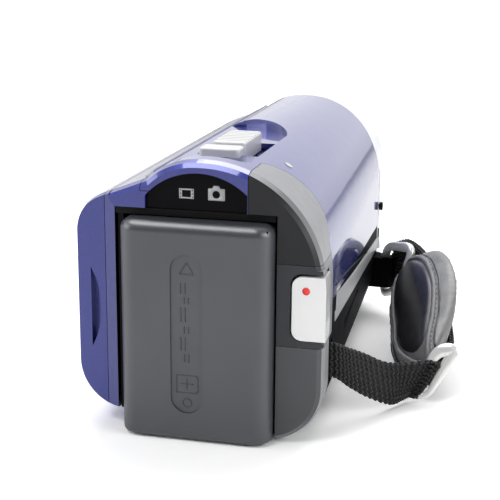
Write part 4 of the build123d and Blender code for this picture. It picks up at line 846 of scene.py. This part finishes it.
def raised_line(name, lines, surface, finish, radius, toward=REAR, body="camera"):
    """Outlines that follow a surface, as one piece of thin rolls."""
    points, faces = [], []
    for line in lines:
        placed = [laid(surface, point, toward, radius * 0.2) for point in line]
        placed = [point for point in placed if point is not None]
        first = len(points)
        for place, here in enumerate(placed):
            after, before = placed[min(place + 1, len(placed) - 1)], placed[max(place - 1, 0)]
            ahead = (after - before).normalized()
            side = ahead.cross(toward).normalized()
            start = len(points)
            for k in range(LINE_SIDES):
                angle = 2 * pi * k / LINE_SIDES
                points.append((here + (side * cos(angle) - toward * sin(angle)) * radius) * MM)
                if place:
                    beside = (k + 1) % LINE_SIDES
                    last = start - LINE_SIDES
                    faces.append((last + k, last + beside, start + beside, start + k))
        faces.append(tuple(range(len(points) - LINE_SIDES, len(points))))
        faces.append(tuple(reversed(range(first, first + LINE_SIDES))))
    add_piece(name, mesh_of(name, points, faces), finish, body)


def closed_line(corners, steps=6):
    """Points round a closed outline of (x, z) corners on the rear."""
    line = []
    for place, (x, z) in enumerate(corners):
        x1, z1 = corners[(place + 1) % len(corners)]
        line += [(x + (x1 - x) * k / steps, 0, z + (z1 - z) * k / steps) for k in range(steps)]
    return line + [line[0]]


def battery_lines():
    """A triangle, a row of dashes, a square with a plus and a ring, down the battery's middle."""
    lines = [closed_line([(-0.8, 37.6), (-2.3, 35.2), (0.5, 35.2)]),
             closed_line([(-3.0, 10.5), (1.0, 10.5), (1.4, 10.9), (1.4, 13.8), (1.0, 14.2), (-3.0, 14.2)]),
             closed_line(round_loop(-0.8, 8.4, 0.9, 12), 1),
             [(-2.2 + 0.3 * k, 0, 12.4) for k in range(10)],
             [(-0.85, 0, 11.3 + 0.22 * k) for k in range(11)]]
    dashes = ((17.0, 18.6), (19.4, 22.2), (23.0, 24.4), (25.4, 28.4), (29.2, 30.4), (31.2, 33.4))
    for dash, (low, high) in enumerate(dashes):
        x = -0.8 + 0.35 * (-1) ** dash
        for across in (x, x - 0.9):
            lines.append([(across, 0, low + (high - low) * k / 6) for k in range(7)])
    return lines


battery = surface_of("battery_case", "battery_lid")
raised_line("battery_marks", battery_lines(), battery, mark_shade, 0.13, body="battery")


def side_strip(name, low, high, surface, finish, lift):
    """A flat strip along the strap side, between two lines of (x, y, z)."""
    top, sunk = lift + LEDGE_THICK, -0.1
    outline = ((0, lift), (0.03, top), (0.97, top), (1, lift), (0.97, sunk), (0.03, sunk))
    rows = []
    for a, b in zip(smooth_line(low, 12), smooth_line(high, 12)):
        placed = [(a.lerp(b, share), out) for share, out in outline]
        rows.append([(laid(surface, point, RIGHT, out) or point) * MM for point, out in placed])
    add_piece(name, swept_skin(name, rows), finish)


def button_gap():
    """A line round the start and stop button's free edges, rounded at its two corners."""
    low, high = (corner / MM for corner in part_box("record_button"))
    left, free, bend = low.x - 0.35, high.x - 1.6, 2.2
    above, below = high.z + 0.35, low.z - 0.35
    turns = [k * pi / 12 for k in range(7)]
    top = [(left + bend - bend * sin(turn), 0, above - bend + bend * cos(turn)) for turn in turns]
    bottom = [(left + bend - bend * sin(turn), 0, below + bend - bend * cos(turn)) for turn in turns]
    return [(free, 0, above)] + top + bottom[::-1] + [(free, 0, below)]


# a black roll in the gap round the button's free edges: a painted shadow for the shade in the gap
raised_line("record_button_gap_shadow", [button_gap()], surface_of("record_panel"), inner_black, 0.3)

switch_low, switch_high = (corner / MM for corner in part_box("cover_switch"))
slot_y = (switch_low.y + switch_high.y) / 2
slot_z = (switch_low.z + switch_high.z) / 2
slot_line = [(0, slot_y, slot_z - 9 + 16 * k / 24) for k in range(25)]
raised_line("cover_switch_slot", [slot_line], surface_of("front_ring", "top_cover", "lower_housing"),
            inner_black, 0.32, toward=RIGHT)

flank = surface_of("lower_housing", "right_cover", "top_cover")
# a thin pale strip laid on the flank: a painted highlight for the lit ledge
side_strip("side_ledge", [(25.2, -42.4, 21.7), (24.5, -5.6, 19.1), (23.5, 44.0, 15.9)],
           [(25.2, -42.8, 27.6), (24.5, -10.0, 23.8), (23.2, 44.0, 18.9)], flank, ledge_painted_highlight, 0.05)
ledge_line = smooth_line([(25.2, -42.1, 29.6), (24.4, -8.0, 25.2), (23.5, 26.8, 19.6)], 14)
raised_line("side_ledge_line", [ledge_line], flank, inner_black, 0.14, toward=RIGHT)

# ---------------------------------------------------------------- studio
viewer = Vector((0.0634, -0.2753, 0.0985))
yaw, pitch, roll = radians(13.55), radians(14.66), radians(0.47)
ahead = Vector((-sin(yaw) * cos(pitch), cos(yaw) * cos(pitch), -sin(pitch)))
right = Vector((cos(yaw), sin(yaw), 0))
up = right.cross(ahead)
camera_right = cos(roll) * right + sin(roll) * up
camera_up = cos(roll) * up - sin(roll) * right
camera_data = bpy.data.cameras.new("camera_view")
camera_data.lens = 85.392
camera_data.sensor_width = 36.0
camera_data.clip_start = 0.01
camera = bpy.data.objects.new("camera_view", camera_data)
axes = Matrix((camera_right, camera_up, -ahead)).transposed()
camera.matrix_world = Matrix.Translation(viewer) @ axes.to_4x4()
scene.collection.objects.link(camera)
scene.camera = camera

ROOM_GLOSSY = 1.12          # how bright the room is in reflections
ROOM_DIFFUSE = 0.5          # the share of it that lights dull surfaces
BACKDROP = 1.05             # how bright the viewer sees the room
# brightness by a direction's height, from straight down to straight up
ROOM_HEIGHTS = ((-1, 0.2), (-0.1, 0.35), (0.0, 0.8), (0.1, 1.0), (0.6, 0.9), (0.9, 0.35), (1, 0.3))
# brightness by a direction's depth, from behind the viewer to beyond the object
ROOM_DEPTHS = ((-1, 0.03), (-0.55, 0.05), (-0.15, 0.6), (0.1, 1.0), (1, 1.0))


def studio_room():
    """Soft white light from beyond and both sides, a dimmer ceiling, and a dark room behind the viewer."""
    world = bpy.data.worlds.new("studio_room")
    scene.world = world
    world.use_nodes = True
    tree = world.node_tree
    link = tree.links.new

    def stops(source, steps):
        """A curve of brightness over one part of a direction, from -1 to 1."""
        spread = tree.nodes.new("ShaderNodeMapRange")
        spread.inputs["From Min"].default_value = -1
        link(source, spread.inputs["Value"])
        curve = tree.nodes.new("ShaderNodeValToRGB")
        elements = curve.color_ramp.elements
        elements.remove(elements[1])
        for place, grey in steps:
            at = (place + 1) / 2
            element = elements.new(at) if place > -1 else elements[0]
            element.position = at
            element.color = (grey, grey, grey, 1)
        link(spread.outputs["Result"], curve.inputs["Fac"])
        return curve.outputs["Color"]

    def times(a, b):
        """One brightness times another brightness or a number."""
        product = tree.nodes.new("ShaderNodeMath")
        product.operation = "MULTIPLY"
        for socket, value in enumerate((a, b)):
            if isinstance(value, bpy.types.NodeSocket):
                link(value, product.inputs[socket])
            else:
                product.inputs[socket].default_value = value
        return product.outputs[0]

    seen = tree.nodes.new("ShaderNodeLightPath")
    place = tree.nodes.new("ShaderNodeTexCoord")
    split = tree.nodes.new("ShaderNodeSeparateXYZ")
    link(place.outputs["Generated"], split.inputs[0])
    by_height = stops(split.outputs["Z"], ROOM_HEIGHTS)
    by_depth = stops(split.outputs["Y"], ROOM_DEPTHS)
    glow = times(times(by_height, by_depth), ROOM_GLOSSY)
    soft = tree.nodes.new("ShaderNodeMix")
    soft.data_type = "FLOAT"
    link(seen.outputs["Is Diffuse Ray"], soft.inputs["Factor"])
    link(glow, soft.inputs["A"])
    link(times(glow, ROOM_DIFFUSE), soft.inputs["B"])
    pick = tree.nodes.new("ShaderNodeMix")
    pick.data_type = "FLOAT"
    link(seen.outputs["Is Camera Ray"], pick.inputs["Factor"])
    link(soft.outputs["Result"], pick.inputs["A"])
    pick.inputs["B"].default_value = BACKDROP
    link(pick.outputs["Result"], tree.nodes["Background"].inputs["Strength"])
    tree.nodes["Background"].inputs["Color"].default_value = (1, 1, 1, 1)


studio_room()


def soft_light(name, place, aim, size, power):
    """A soft white panel, its size in metres and its power in watts."""
    data = bpy.data.lights.new(name, "AREA")
    data.shape = "RECTANGLE"
    data.size, data.size_y = size
    data.energy = power
    lamp = bpy.data.objects.new(name, data)
    lamp.location = place
    lamp.rotation_euler = (Vector(aim) - Vector(place)).to_track_quat("-Z", "Y").to_euler()
    scene.collection.objects.link(lamp)
    return lamp


soft_light("overhead_softbox", (0.0, 0.45, 0.8), (0, 0, 0), (0.9, 0.5), 7.0)
soft_light("strap_side_softbox", (0.75, -0.25, 0.35), (0, 0, 0.03), (0.5, 0.5), 3.6)
edge_softbox = soft_light("edge_softbox", (-0.25, -0.22, 0.8), (0, 0, 0.03), (0.8, 0.35), 6.0)
edge_softbox.visible_diffuse = False
soft_light("display_side_softbox", (-0.8, -0.35, 0.35), (0, 0, 0.03), (0.6, 0.5), 3.2)
rear_fill = soft_light("rear_fill", (-0.3, -0.62, 0.9), (0, 0, 0.02), (0.35, 0.3), 3.6)
rear_fill.visible_glossy = False

FLOOR_REACH = 3.0
FLOOR_SEEN = 1.3            # how pale the viewer sees the paper
FLOOR_FADE = (0.16, 0.5)    # between these distances from the object the paper fades into the backdrop
FLOOR_BOUNCE = 0.3          # a glow of the paper that only dull surfaces pick up


def floor_paper():
    """Pale seamless paper that brightens into the backdrop away from the object."""
    made = Finish("floor_paper", Roughness=0.8, Emission_Color=(1, 1, 1, 1))
    rays = made.node("ShaderNodeLightPath").outputs
    paper = made.colours(made.noise(40.0), (0.80, 0.80, 0.80), (0.82, 0.82, 0.82))
    seen = made.node("ShaderNodeMix", {"Factor": rays["Is Camera Ray"]}, data_type="RGBA")
    made.tree.links.new(paper, seen.inputs["A"])
    seen.inputs["B"].default_value = (FLOOR_SEEN, FLOOR_SEEN, FLOOR_SEEN, 1)
    made.into("Base Color", seen.outputs["Result"])
    away = made.node("ShaderNodeVectorMath", {0: made.place}, operation="LENGTH").outputs["Value"]
    fade = made.span(away, 0, 1, *FLOOR_FADE)
    glow = made.node("ShaderNodeMath", {0: fade, 1: rays["Is Camera Ray"]}, operation="MULTIPLY")
    bounce = made.node("ShaderNodeMath", {0: rays["Is Diffuse Ray"], 1: FLOOR_BOUNCE}, operation="MULTIPLY")
    both = made.node("ShaderNodeMath", {0: glow.outputs[0], 1: bounce.outputs[0]})
    made.into("Emission Strength", both.outputs[0])
    return made.material


floor_mesh = bpy.data.meshes.new("floor")
floor_corners = [(x * FLOOR_REACH, y * FLOOR_REACH, 0) for x, y in ((-1, -1), (1, -1), (1, 1), (-1, 1))]
floor_mesh.from_pydata(floor_corners, [], [(0, 1, 2, 3)])
floor = bpy.data.objects.new("floor", floor_mesh)
scene.collection.objects.link(floor)
floor.data.materials.append(floor_paper())
